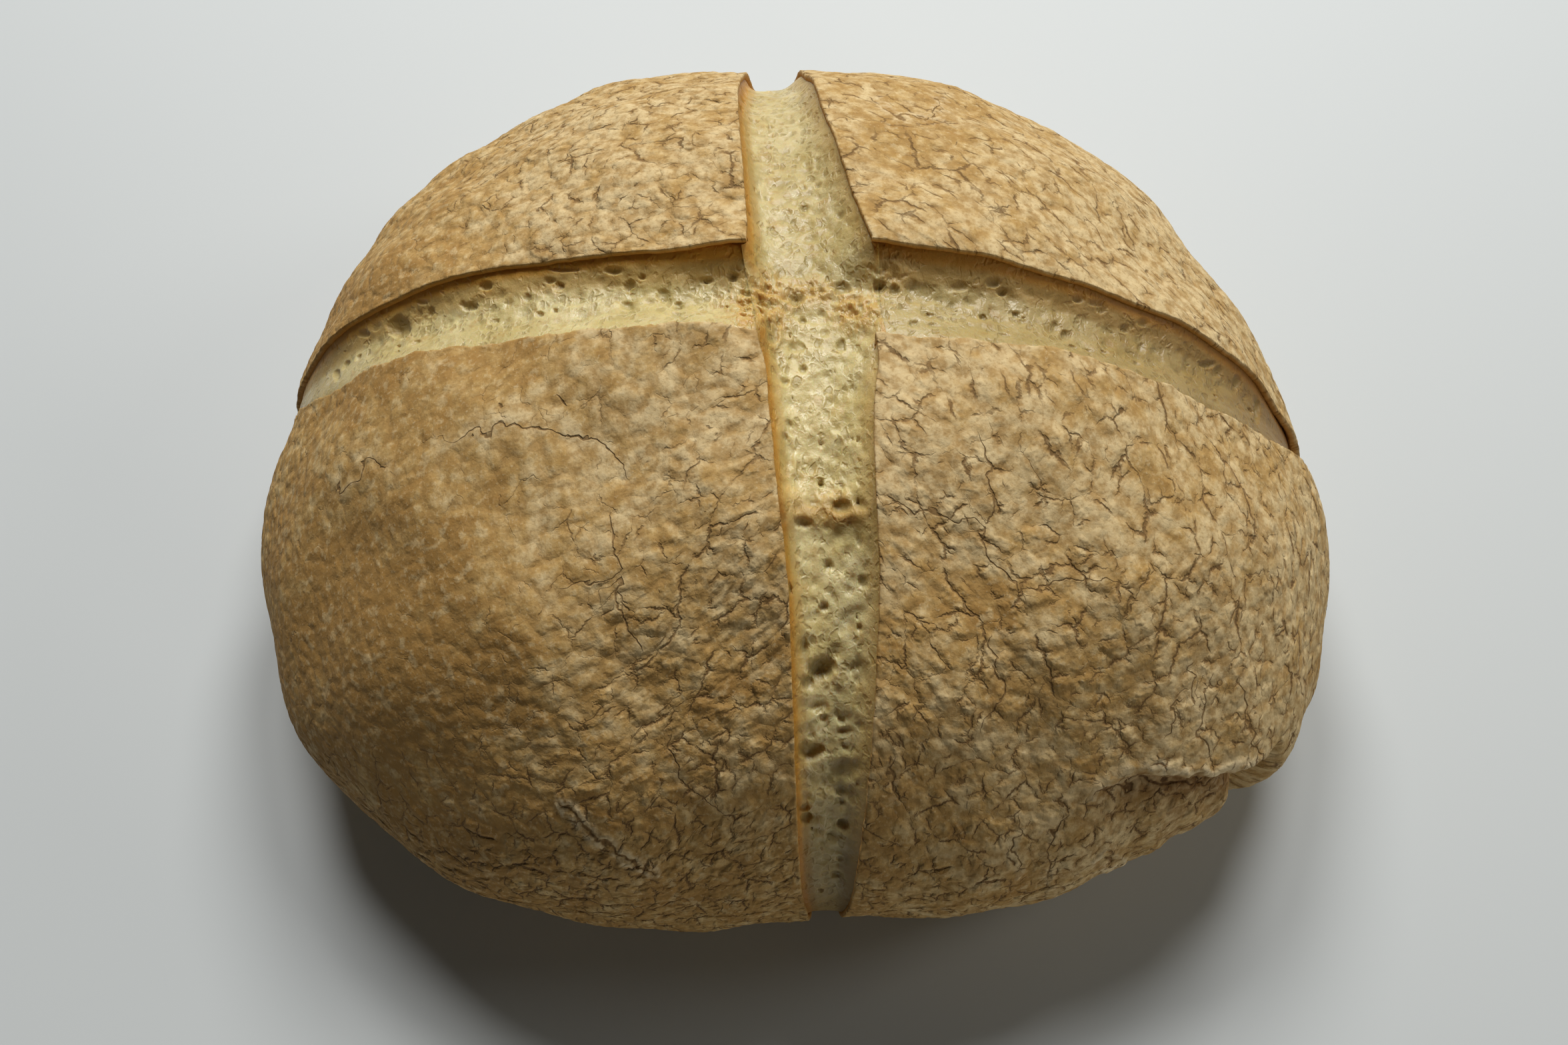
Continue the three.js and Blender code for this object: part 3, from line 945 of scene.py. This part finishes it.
def crustRelief(name, x, y, points):
    # domed plates and nodules, sunk cracks, pebbles, lumps and torn rims, added up; gives the heights in mm
    # and the attributes that the finish reads
    way, angle = domePlace(x, y)
    turn, stretch = relief["grain"][name]
    arc = way * relief["arc"]
    along = arc * np.cos(angle - np.radians(turn)) / stretch
    across = arc * np.sin(angle - np.radians(turn))
    plateCo = np.stack([along, across, 0.0 * along], -1).reshape(-1, 3) + np.array(relief["plateShift"])
    plate = probe(plateCo, plateNodes)
    bumps = probe(points, lambda tree, place: noises(tree, place, relief["noises"]))
    jag = np.stack([bumps["jagU"] - 0.5, bumps["jagV"] - 0.5], -1)
    places = photoPlace(points) + relief["jag"] * jag
    discWay = rimShare(x, y).ravel()
    low = smooth(*relief["lowWay"], discWay) * smooth(*relief["lowFront"], points[:, 1])
    crackle = mix(relief["crackle"][name], relief["crackleLow"][name], low)
    pucker = mix(relief["pucker"][name], relief["puckerLow"], low)
    knobs = mix(relief["knobs"][name], relief["knobsLow"], low)
    for u, v, half, strength in calmPlaces:
        calm = strength * placeBell(places, u, v, half)
        crackle = crackle * (1.0 - calm)
        pucker = pucker * (1.0 - relief["calmKnobs"] * calm)
        knobs = knobs * (1.0 - relief["calmKnobs"] * calm)
    more = plates["spread"] * (crackle - 1.0)
    opened = smooth(*plates["edge"]["opened"], plate["edgeOpen"] + more) * crackle
    smallOpened = smooth(*plates["small"]["opened"], plate["smallOpen"] + more) * crackle

    domes = smooth(*relief["smallRise"], plate["small"])
    domes = domes + relief["edgeDome"] * smooth(*relief["edgeRise"], plate["edge"]) * opened
    ledges = (plate["edgeTone"] - 0.5) * opened
    ledges = ledges + relief["smallLedge"] * (plate["smallTone"] - 0.5) * smallOpened
    height = relief["plateDome"] * domes + relief["ledge"] * ledges
    height = height - relief["crackDepth"] * opened * bell(plate["edge"], relief["crackHalf"])
    height = height + relief["pebble"] * pucker * 2 * (bumps["pebble"] - 0.5)
    height = height + relief["lump"] * 2 * (bumps["lump"] - 0.5)
    height = height + relief["knob"] * knobs * plate["knob"]
    splitSide, splitWide, splitPale = longSplits(name, places)
    height = height - relief["splitDepth"] * splitWide * bell(splitSide, relief["splitHalf"])
    height = height + relief["splitRim"] * splitPale
    tear, rim, shade = pleatTear(x.ravel(), y.ravel(), discWay, jag[:, 0])
    return height + tear, dict(
        plateCo=plateCo,
        crackle=crackle,
        pucker=pucker,
        knobs=knobs,
        toast=golden(points, places),
        splitSide=splitSide,
        splitWide=splitWide,
        splitPale=np.maximum(splitPale, rim),
        shade=shade,
    )


def lipRipple(nominal, row):  # noise along a lip, between about -0.25 and 0.25
    line = nominal.ravel() * lobes["rippleLength"]
    places = np.stack([line, 0.0 * line + lobes["rippleRows"] * row, 0.0 * line], -1)
    found = probe(places, lambda tree, place: {"ripple": noise(tree, place, *lobes["rippleNoise"])})
    return found["ripple"].reshape(nominal.shape) - 0.5


def lobeGrid(name):
    # a grid over a quarter of the disc, from its rim to the lips, then over the torn edge and back under it;
    # gives the share of the way from lip to rim, x and y on the disc, the drop in mm, and the torn face
    sideX, sideY = lobes["sides"][name]
    wallX = "left" if sideX < 0 else "right"
    wallY = "front" if sideY < 0 else "back"
    count = lobes["lines"]
    away = (np.arange(1, count + 1) / count) ** lobes["ease"]
    away = np.concatenate([np.zeros(len(lobes["edgeOut"]) + 1), away])
    out = np.concatenate([lobes["edgeOut"], np.zeros(count + 1)])
    drop = np.concatenate([lobes["edgeDrop"], np.zeros(count + 1)])
    nominalX = lineNominal(dict(side=sideX, away=away[None, :]))
    nominalY = lineNominal(dict(side=sideY, away=away[:, None]))
    widthX = cutWidth("front", "back", nominalY)
    widthY = cutWidth("left", "right", nominalX)
    foldX = 1.0 - smooth(*lobes["edgeEnd"], np.abs(nominalY))
    foldY = 1.0 - smooth(*lobes["edgeEnd"], np.abs(nominalX))
    openX = smooth(0.0, cross["openWidth"], widthX) * foldX
    openY = smooth(0.0, cross["openWidth"], widthY) * foldY
    over = np.maximum(out, 0.0)
    fromCorner = away * sidewaysScale(np.array(0.0))
    corner = lobes["cornerRound"][name] * bell(fromCorner, lobes["cornerRun"])
    shiftX = lobes["lipShift"][wallX] + lobes["ripple"][wallX] * lipRipple(nominalY, sideX)
    rippleY = lipRipple(nominalX, sideY + lobes["rippleApart"])
    shiftY = lobes["lipShift"][wallY] + lobes["ripple"][wallY] * rippleY
    outX = ((out + (lobes["overhang"][wallX] - 1.0) * over)[None, :] + shiftX) * openX - corner[:, None]
    outY = ((out + (lobes["overhang"][wallY] - 1.0) * over)[:, None] + shiftY) * openY - corner[None, :]
    lipX = (widthX / 2 - outX + sideX * cutSway("upright", nominalY)) * unitsAcross(nominalY)
    lipY = (widthY / 2 - outY + sideY * cutSway("across", nominalX)) * unitsAcross(nominalX)
    x, y = toDisc(sideX * mix(lipX, 1.0, away[None, :]), sideY * mix(lipY, 1.0, away[:, None]))
    dropX = drop[None, :] * foldX
    dropY = drop[:, None] * foldY
    thick = 1.0 + lobes["thickEnd"][wallY] * smooth(*lobes["thickRun"], np.abs(nominalX))
    faceX = lobes["edgeTone"][wallX] * smooth(*lobes["edgeFace"], dropX)
    faceY = lobes["edgeTone"][wallY] * smooth(*lobes["edgeFace"], dropY)
    return away, x, y, np.maximum(dropX, dropY * thick), np.maximum(faceX, faceY)


def lobeSurface(name):
    # the dome under the grid, moved along its normal by the curl of the lips, swells, bulges, pleat and
    # relief; a fan of rings closes the base, and two hidden faces run from the torn edge to the base
    away, x, y, drop, face = lobeGrid(name)
    way = rimShare(x, y)
    points = domePoint(x, y)
    raiseX, raiseY = cross["earRaise"][name]
    earX = raiseX * bell(away[None, :] * sidewaysScale(way), cross["earRun"])
    earY = raiseY * bell(away[:, None] * sidewaysScale(way), cross["earRun"])
    height, attributes = crustRelief(name, x, y, points.reshape(-1, 3))
    attributes["cut"] = face.ravel()
    uneven = swell(points) + pleat(x, y, way) + bulge(x, y, way) + height.reshape(x.shape)
    raised = footFade(way) * (uneven + (1.0 - way) * np.hypot(earX, earY))
    points = (points + domeNormal(x, y) * (raised - drop)[..., None]).reshape(-1, 3)

    index = np.arange(x.size).reshape(x.shape)
    edges = len(lobes["edgeOut"])
    rim = np.concatenate([index[edges:, -1], index[-1, edges:-1][::-1]])
    rings = lobes["baseRings"]
    shrink = 1.0 - np.arange(1, rings + 1)[:, None, None] / rings
    inner = (points[rim] * shrink).reshape(-1, 3)
    inner[:, 2] = 0.0
    base = np.concatenate([rim, x.size + np.arange(len(inner))]).reshape(rings + 1, -1)
    nearest = np.round((1.0 - away) * rings).astype(int)  # the ring that each line of the torn edge runs to
    hiddenX = np.stack([index[:, 0], base[nearest, -1]], -1)
    hiddenY = np.stack([index[0, :], base[nearest, 0]], -1)
    faces = np.concatenate([gridFaces(grid) for grid in (index, base, hiddenX, hiddenY)])
    plain = dict(
        plateCo=inner + relief["plateShift"][0],
        toast=np.full(len(inner), lobes["baseToast"]),
        splitSide=np.full(len(inner), relief["noSplit"]),
    )
    for key, values in attributes.items():
        attributes[key] = np.concatenate([values, plain.get(key, np.zeros(len(inner)))])
    return np.concatenate([points, inner]), faces, attributes


# the crumb in the cuts: its grid, how far below the lips its edges and hidden side lie, and its relief, in mm
crumb = dict(
    columns=108,
    rows=340,
    crossRows=60,
    ease=1.05,
    nearEnd=0.995,
    tuck=0.9,
    tuckOut=1.2,
    under=(1.5, 4.0, 5.5, 4.0, 1.5),
    noises=dict(lump=(6.0, 3.0, 1.0), jag=(1.8, 3.0, 2.0)),
    insideFrom=(1.0, 3.5),
    reliefFrom=(0.0, 2.5),
    lump=0.8,
    foamSize=2.7,
    foamDepth=0.5,
    foamRound=(0.05, 0.6),
    poreSize=3.6,
    poreDepth=0.9,
    poreRadius=(0.05, 0.34),
    poreFrom=(0.55, 1.0),
    poreRagged=(0.8, 0.8),
    holeDepth=0.5,
    holePower=0.8,
    holeRagged=(0.6, 0.8),
    holeDark=(0.7, 2.3),
    holeEdge=(0.0, 0.7),
    tornRise=1.6,
    tornEdge=(0.35, 1.15),
    tornRagged=1.2,
    tornJag=(0.4, 3.0),
)

# how far from the lip a wall is brown and then gold, in mm: the walls towards -1 and 1 of each cut
# the last value of each cut is how much painted shade darkens the brown band under its lips
wallTones = dict(
    upright=dict(brown=((1.4, 3.2), (0.4, 1.5)), gold=((2.6, 5.0), (-1.0, 7.0)), paintedShadeAndAmber=0.55),
    left=dict(brown=((0.0, 0.5), (2.0, 4.6)), gold=((0.3, 2.0), (4.5, 9.5)), paintedShadeAndAmber=0.0),
    right=dict(brown=((0.0, 0.5), (2.0, 4.6)), gold=((0.3, 2.0), (4.5, 9.5)), paintedShadeAndAmber=0.2),
)

# how golden the crumb is along an arm, and how much painted shade darkens it there: share of its length and
# strength, the upright from the back
armTones = dict(
    upright=dict(
        golden=((0.0, 0.2), (0.4, 0.1), (0.6, 0.05), (0.82, 0.15), (0.9, 0.4), (1.0, 0.7)),
        paintedShadeAndAmber=((0.0, 0.32), (0.3, 0.32), (0.46, 0.32), (0.6, 0.0), (0.76, 0.05), (0.84, 0.5), (0.9, 0.8),
             (1.0, 0.95)),
    ),
    left=dict(
        golden=((0.0, 0.0), (0.6, 0.2), (1.0, 0.6)),
        paintedShadeAndAmber=((0.0, 0.2), (0.5, 0.22), (0.9, 0.7), (1.0, 0.95)),
    ),
    right=dict(
        golden=((0.0, 0.2), (0.5, 0.55), (0.7, 0.95), (1.0, 1.0)),
        paintedShadeAndAmber=((0.0, 0.38), (0.5, 0.75), (0.65, 0.9), (1.0, 1.0)),
    ),
)

# holes and hollows: place, half width and half height in the picture, depth in mm
crumbHoles = (
    (598, 490, 18, 18, 3.2), (728, 428, 11, 8, 2.2), (705, 460, 12, 7, 1.6), (545, 500, 10, 7, 1.8),
    (632, 452, 10, 5, 1.5), (505, 563, 6, 10, 1.5), (846, 404, 26, 5, 1.6), (918, 405, 16, 6, 1.6),
    (940, 457, 11, 8, 1.7), (1013, 472, 9, 6, 1.6), (1060, 420, 13, 6, 1.4), (825, 420, 10, 5, 1.2),
    (1320, 432, 12, 10, 2.2), (1385, 440, 30, 18, 1.3), (1440, 430, 14, 8, 1.4), (1490, 424, 12, 8, 2.0),
    (1503, 437, 9, 7, 1.6), (1617, 449, 9, 6, 1.6), (1645, 454, 14, 5, 1.4), (1583, 490, 7, 9, 1.6),
    (1599, 503, 10, 9, 1.9), (1715, 483, 8, 7, 1.6), (1688, 492, 8, 7, 1.5), (1712, 522, 6, 9, 1.6),
    (1812, 546, 14, 6, 1.6), (1828, 556, 7, 9, 1.6), (1856, 572, 6, 13, 1.7), (1886, 615, 5, 22, 2.0),
    (1195, 447, 17, 12, 2.4), (1262, 432, 17, 10, 2.4), (1158, 497, 12, 22, 2.6), (1195, 520, 14, 10, 1.4),
    (1232, 695, 58, 50, 0.8), (1180, 680, 12, 34, 1.4), (1262, 762, 17, 12, 2.6), (1291, 757, 11, 9, 1.8),
    (1222, 757, 9, 6, 1.2), (1172, 780, 9, 9, 1.5), (1205, 785, 15, 8, 2.0), (1243, 850, 9, 6, 1.4),
    (1206, 975, 8, 18, 1.6), (1232, 1002, 24, 18, 3.6), (1230, 1022, 24, 20, 1.8), (1290, 1010, 15, 20, 1.6),
    (1228, 1062, 19, 9, 1.5), (1268, 1098, 13, 6, 1.3), (1217, 1128, 22, 14, 3.2), (1265, 1155, 26, 18, 1.5),
    (1265, 1190, 16, 11, 1.4), (1268, 1235, 13, 11, 1.0), (1250, 1255, 13, 9, 1.3), (1255, 1313, 10, 6, 1.4),
)

# torn orange places: place, half width and half height in the picture, strength
tornPlaces = (
    (1138, 462, 66, 72, 1.0), (1285, 468, 58, 42, 0.9), (1205, 440, 75, 30, 0.7), (1325, 410, 55, 40, 0.65),
    (1250, 745, 34, 14, 0.5), (1180, 745, 30, 22, 0.4), (1240, 775, 62, 18, 0.45),
)

# the amber ridge across the front arm: its line and half width in the picture, height in mm, tones
amberRidge = dict(line=770, half=24, height=1.2, gold=0.8, paintedShadeAndAmber=0.35)


def lipRaise(rowLine, columnLine):  # how far the nearest lip has curled up
    cut = 0 if "column" in columnLine else 1
    sideX = np.sign(lineNominal(columnLine))
    sideY = np.sign(lineNominal(rowLine))
    raised = 0.0
    for name, sides in lobes["sides"].items():
        raised = raised + cross["earRaise"][name][cut] * (sideX == sides[0]) * (sideY == sides[1])
    return raised


def placeLine(line, cut, along):  # a line of the cut's section, or one beyond the lip, and how far it is sunk
    width = cutWidth(*cross["ends"][cut], along)
    lip = (width / 2 + crumb["tuckOut"] * smooth(0.0, cross["openWidth"], width)) * unitsAcross(along)
    shift = cutSway(cut, along) * unitsAcross(along)
    if "column" in line:
        sunk = cutSection(line["column"], *(cross["wallRun"][wall] for wall in cross["walls"][cut]))
        return lip * line["column"] + shift, sunk + 0.0 * lip
    side = line["side"]
    return side * mix(lip + side * shift, 1.0, line["away"]), 0.0 * lip + 0.0 * line["away"]


def grooveSurface(rowLine, columnLine):
    # the floor and walls of the cuts, sunk from the dome along its normal; gives points, normals, how far
    # the cut across takes part, and the depth in mm
    across, acrossSunk = placeLine(columnLine, "upright", lineNominal(rowLine))
    along, alongSunk = placeLine(rowLine, "across", lineNominal(columnLine))
    x, y = toDisc(across, along)
    points = domePoint(x, y)
    normals = domeNormal(x, y)
    way = rimShare(x, y)
    foot = footFade(way)
    depth = cutDepth("front", "back", lineNominal(rowLine)) * acrossSunk
    sideDepth = cutDepth("left", "right", lineNominal(columnLine)) * alongSunk
    opened = acrossSunk + alongSunk - acrossSunk * alongSunk
    down = (depth + sideDepth * (1.0 - acrossSunk)) * foot
    rise = foot * (1.0 - opened) * (swell(points) + (1.0 - way) * lipRaise(rowLine, columnLine))
    sunk = np.sqrt(down * down + crumb["tuck"] ** 2)
    return points + normals * (rise - sunk)[..., None], normals, alongSunk + 0.0 * x, down


def armLines(arm):  # shares from the lip of the other cut out to where the arm has run out
    lip = cross["nominalLip"]
    stop = (min(cross[arm]["reach"] * crumb["nearEnd"], 1.0) - lip) / (1.0 - lip)
    return np.linspace(0.0, 1.0, crumb["rows"]) ** crumb["ease"] * stop


def crumbGrid(name, band):
    # the groove of one arm, or of the upright cut from its back end through the crossing to its front end
    if name == "upright":
        middle = np.linspace(1.0, -1.0, crumb["crossRows"])
        lines = (
            dict(side=1, away=armLines("back")[::-1, None]),
            dict(column=middle[1:-1, None]),
            dict(side=-1, away=armLines("front")[:, None]),
        )
        parts = [grooveSurface(line, dict(column=band[None, :])) for line in lines]
        return [np.concatenate(group) for group in zip(*parts)]
    column = dict(side=-1 if name == "left" else 1, away=armLines(name)[:, None])
    top, normals, crossed, down = grooveSurface(dict(column=band[None, :]), column)
    return top, normals, 0.0 * crossed, down


def crumbRelief(name, points, depth):
    # lumps, foam, pores, holes, torn places and the amber ridge, added up; gives heights in mm and strengths
    size = crumb["poreSize"]
    found = probe(points, lambda tree, place: {
        **noises(tree, place, crumb["noises"]),
        "foam": cells(tree, place, crumb["foamSize"], "SMOOTH_F1", shape="3D"),
        "pore": cells(tree, place, size, shape="3D"),
        "poreTone": cellTone(tree, place, size, "3D"),
    })
    jag = found["jag"]
    places = photoPlace(points)
    inside = smooth(*crumb["insideFrom"], depth)

    def placeAway(u, v, halfWide, halfHigh):  # distance from a place of the picture, 1 at its half widths
        return np.hypot((places[:, 0] - u) / halfWide, (places[:, 1] - v) / halfHigh)

    radius = mix(*crumb["poreRadius"], smooth(*crumb["poreFrom"], found["poreTone"]))
    radius = radius * (crumb["poreRagged"][0] + crumb["poreRagged"][1] * jag)
    # the pore mask sinks the relief and also carries painted shade to the finish
    pore = np.clip(1.0 - (found["pore"] / radius) ** 2, 0.0, 1.0) * inside
    height = crumb["lump"] * 2 * (found["lump"] - 0.5) * inside
    height = height - crumb["foamDepth"] * (1.0 - smooth(*crumb["foamRound"], found["foam"])) * inside
    height = height - crumb["poreDepth"] * np.sqrt(pore)
    ridge = np.zeros(len(points))
    if name == "upright":
        ridge = bell(places[:, 1] - amberRidge["line"], amberRidge["half"])
    height = height + amberRidge["height"] * ridge * inside
    least, most = crumb["holeDark"]
    for u, v, halfWide, halfHigh, deep in crumbHoles:
        ragged = crumb["holeRagged"][0] + crumb["holeRagged"][1] * jag
        hole = np.clip(1.0 - (placeAway(u, v, halfWide, halfHigh) * ragged) ** 2, 0.0, 1.0)
        height = height - crumb["holeDepth"] * deep * hole ** crumb["holePower"]
        # painted shade: the deeper a hole, the darker its inside is painted
        dark = np.clip((deep - least) / (most - least), 0.0, 1.0)
        pore = np.maximum(pore, smooth(*crumb["holeEdge"], hole) * dark)
    torn = np.zeros(len(points))
    for u, v, halfWide, halfHigh, strength in tornPlaces:
        away = placeAway(u, v, halfWide, halfHigh) + crumb["tornRagged"] * (jag - 0.5)
        torn = np.maximum(torn, strength * (1.0 - smooth(*crumb["tornEdge"], away)))
    even, rough = crumb["tornJag"]
    height = height + crumb["tornRise"] * torn * (even + rough * (jag - 0.5))
    return height * smooth(*crumb["reliefFrom"], depth), pore, torn, ridge


def armTone(key, name, rows):  # straight lines between the values set along an arm
    shares, values = zip(*armTones[name][key])
    return np.interp(np.linspace(0.0, 1.0, rows), shares, values)[:, None]


def crumbArm(name):
    # the groove's surface on top, and a few lines under it that close the piece into a strip
    band = np.linspace(-1.0, 1.0, crumb["columns"])
    top, normals, crossed, down = crumbGrid(name, band)
    shape = down.shape
    height, pore, torn, ridge = (
        values.reshape(shape) for values in crumbRelief(name, top.reshape(-1, 3), down.ravel())
    )
    top = top + normals * height[..., None]

    columns = crumb["columns"]
    picks = np.round(np.linspace(columns - 1, 0, len(crumb["under"]))).astype(int)
    under = top[:, picks] - normals[:, picks] * np.array(crumb["under"])[None, :, None]
    loop = np.concatenate([top, under], 1)
    index = np.arange(loop.shape[0] * loop.shape[1]).reshape(loop.shape[:2])
    ring = np.concatenate([index, index[:, :1]], 1)
    nearest = np.round(np.linspace(len(picks) - 1, 0, columns)).astype(int)  # closes each end
    ends = [np.stack([index[end, :columns], index[end, columns + nearest]], -1) for end in (0, -1)]
    faces = np.concatenate([gridFaces(grid) for grid in (ring, *ends)])

    wide = np.linalg.norm(top[:, :1] - top[:, -1:], axis=-1)
    fromLip = (1.0 - np.abs(band))[None, :] * wide / 2

    def tone(kind):  # 1 under the lip, falling to 0 further in from it
        first, second = wallTones[name][kind]
        inner = np.where(band[None, :] > 0, smooth(*second, fromLip), smooth(*first, fromLip))
        return (1.0 - inner) * (1.0 - crossed)

    def spread(values):  # the values of the top, carried to the hidden lines
        return np.concatenate([values, values[:, picks]], 1).ravel()

    amber = amberRidge["gold"] * ridge
    gold = np.maximum(np.maximum(tone("gold"), armTone("golden", name, len(top))), amber)
    # painted shade under the brown lips of the upright cut, and the amber ridge's own darker tone
    paintedShadeAndAmber = wallTones[name]["paintedShadeAndAmber"] * tone("brown") + amberRidge["paintedShadeAndAmber"] * amber
    paintedShadeAndAmber = np.maximum(armTone("paintedShadeAndAmber", name, len(top)), paintedShadeAndAmber)
    attributes = dict(
        pore=spread(pore),
        torn=spread(torn),
        brown=spread(tone("brown")),
        gold=spread(gold),
        paintedShadeAndAmber=spread(paintedShadeAndAmber),
    )
    return loop.reshape(-1, 3), faces, attributes


crustSkin = crustMaterial()
crumbSkin = crumbMaterial()
print("finishes of crust and crumb made")
for name in lobes["sides"]:
    makePiece("crust_" + name, *lobeSurface(name), crustSkin, "crust")
for name in ("upright", "left", "right"):
    makePiece("crumb_" + name, *crumbArm(name), crumbSkin, "crumb")

# the pale table
table = dict(half=1.5, below=-2e-4, colour=(0.60, 0.635, 0.645, 1), roughness=0.6)
half, below = table["half"], table["below"]
ground = bpy.data.meshes.new("table")
corners = [(-half, -half, below), (half, -half, below), (half, half, below), (-half, half, below)]
ground.from_pydata(corners, [], [(0, 1, 2, 3)])
tableSkin = bpy.data.materials.new("table")
tableSkin.use_nodes = True
tableShader = tableSkin.node_tree.nodes["Principled BSDF"]
tableShader.inputs["Base Color"].default_value = table["colour"]
tableShader.inputs["Roughness"].default_value = table["roughness"]
ground.materials.append(tableSkin)
floor = bpy.data.objects.new("table", ground)
bpy.context.scene.collection.objects.link(floor)

# lights: two soft ones behind, a weak one from the right, a low warm one in front, and a faint even fill
lights = dict(
    windowLeft=dict(place=(-0.26, 0.85, 1.12), power=11.2, size=0.5, colour=(1.0, 0.985, 0.96)),
    windowRight=dict(place=(0.32, 0.83, 1.12), power=11.4, size=0.5, colour=(1.0, 0.985, 0.96)),
    side=dict(place=(1.2, 0.2, 0.8), power=1.9, size=0.45, colour=(1.0, 0.97, 0.90)),
    front=dict(place=(1.0, -1.1, 0.30), power=2.7, size=0.4, colour=(1.0, 0.93, 0.80)),
)
room = dict(colour=(1.0, 0.93, 0.84, 1), strength=0.02)
for name, light in lights.items():
    lamp = bpy.data.lights.new(name, "AREA")
    lamp.shape = "DISK"
    lamp.size = light["size"]
    lamp.energy = light["power"]
    lamp.color = light["colour"]
    lampObject = bpy.data.objects.new(name, lamp)
    lampObject.location = light["place"]
    aim = -lampObject.location.copy()
    lampObject.rotation_euler = aim.to_track_quat("-Z", "Y").to_euler()
    bpy.context.scene.collection.objects.link(lampObject)
world = bpy.data.worlds.new("room")
world.use_nodes = True
world.node_tree.nodes["Background"].inputs["Color"].default_value = room["colour"]
world.node_tree.nodes["Background"].inputs["Strength"].default_value = room["strength"]
bpy.context.scene.world = world
bpy.context.scene.view_settings.view_transform = "Standard"
print("table and lights set")

lens = bpy.data.cameras.new("camera")
lens.lens = camera["lens"]
lens.sensor_width = camera["sensor"]
lens.clip_start = 0.01
lift = np.radians(camera["elevation"])
eye = bpy.data.objects.new("camera", lens)
eye.location = (
    camera["target"][0] * mm,
    (camera["target"][1] - camera["distance"] * np.cos(lift)) * mm,
    (camera["target"][2] + camera["distance"] * np.sin(lift)) * mm,
)
eye.rotation_euler = (np.pi / 2 - lift, 0.0, 0.0)
bpy.context.scene.collection.objects.link(eye)
bpy.context.scene.camera = eye
print("camera set")
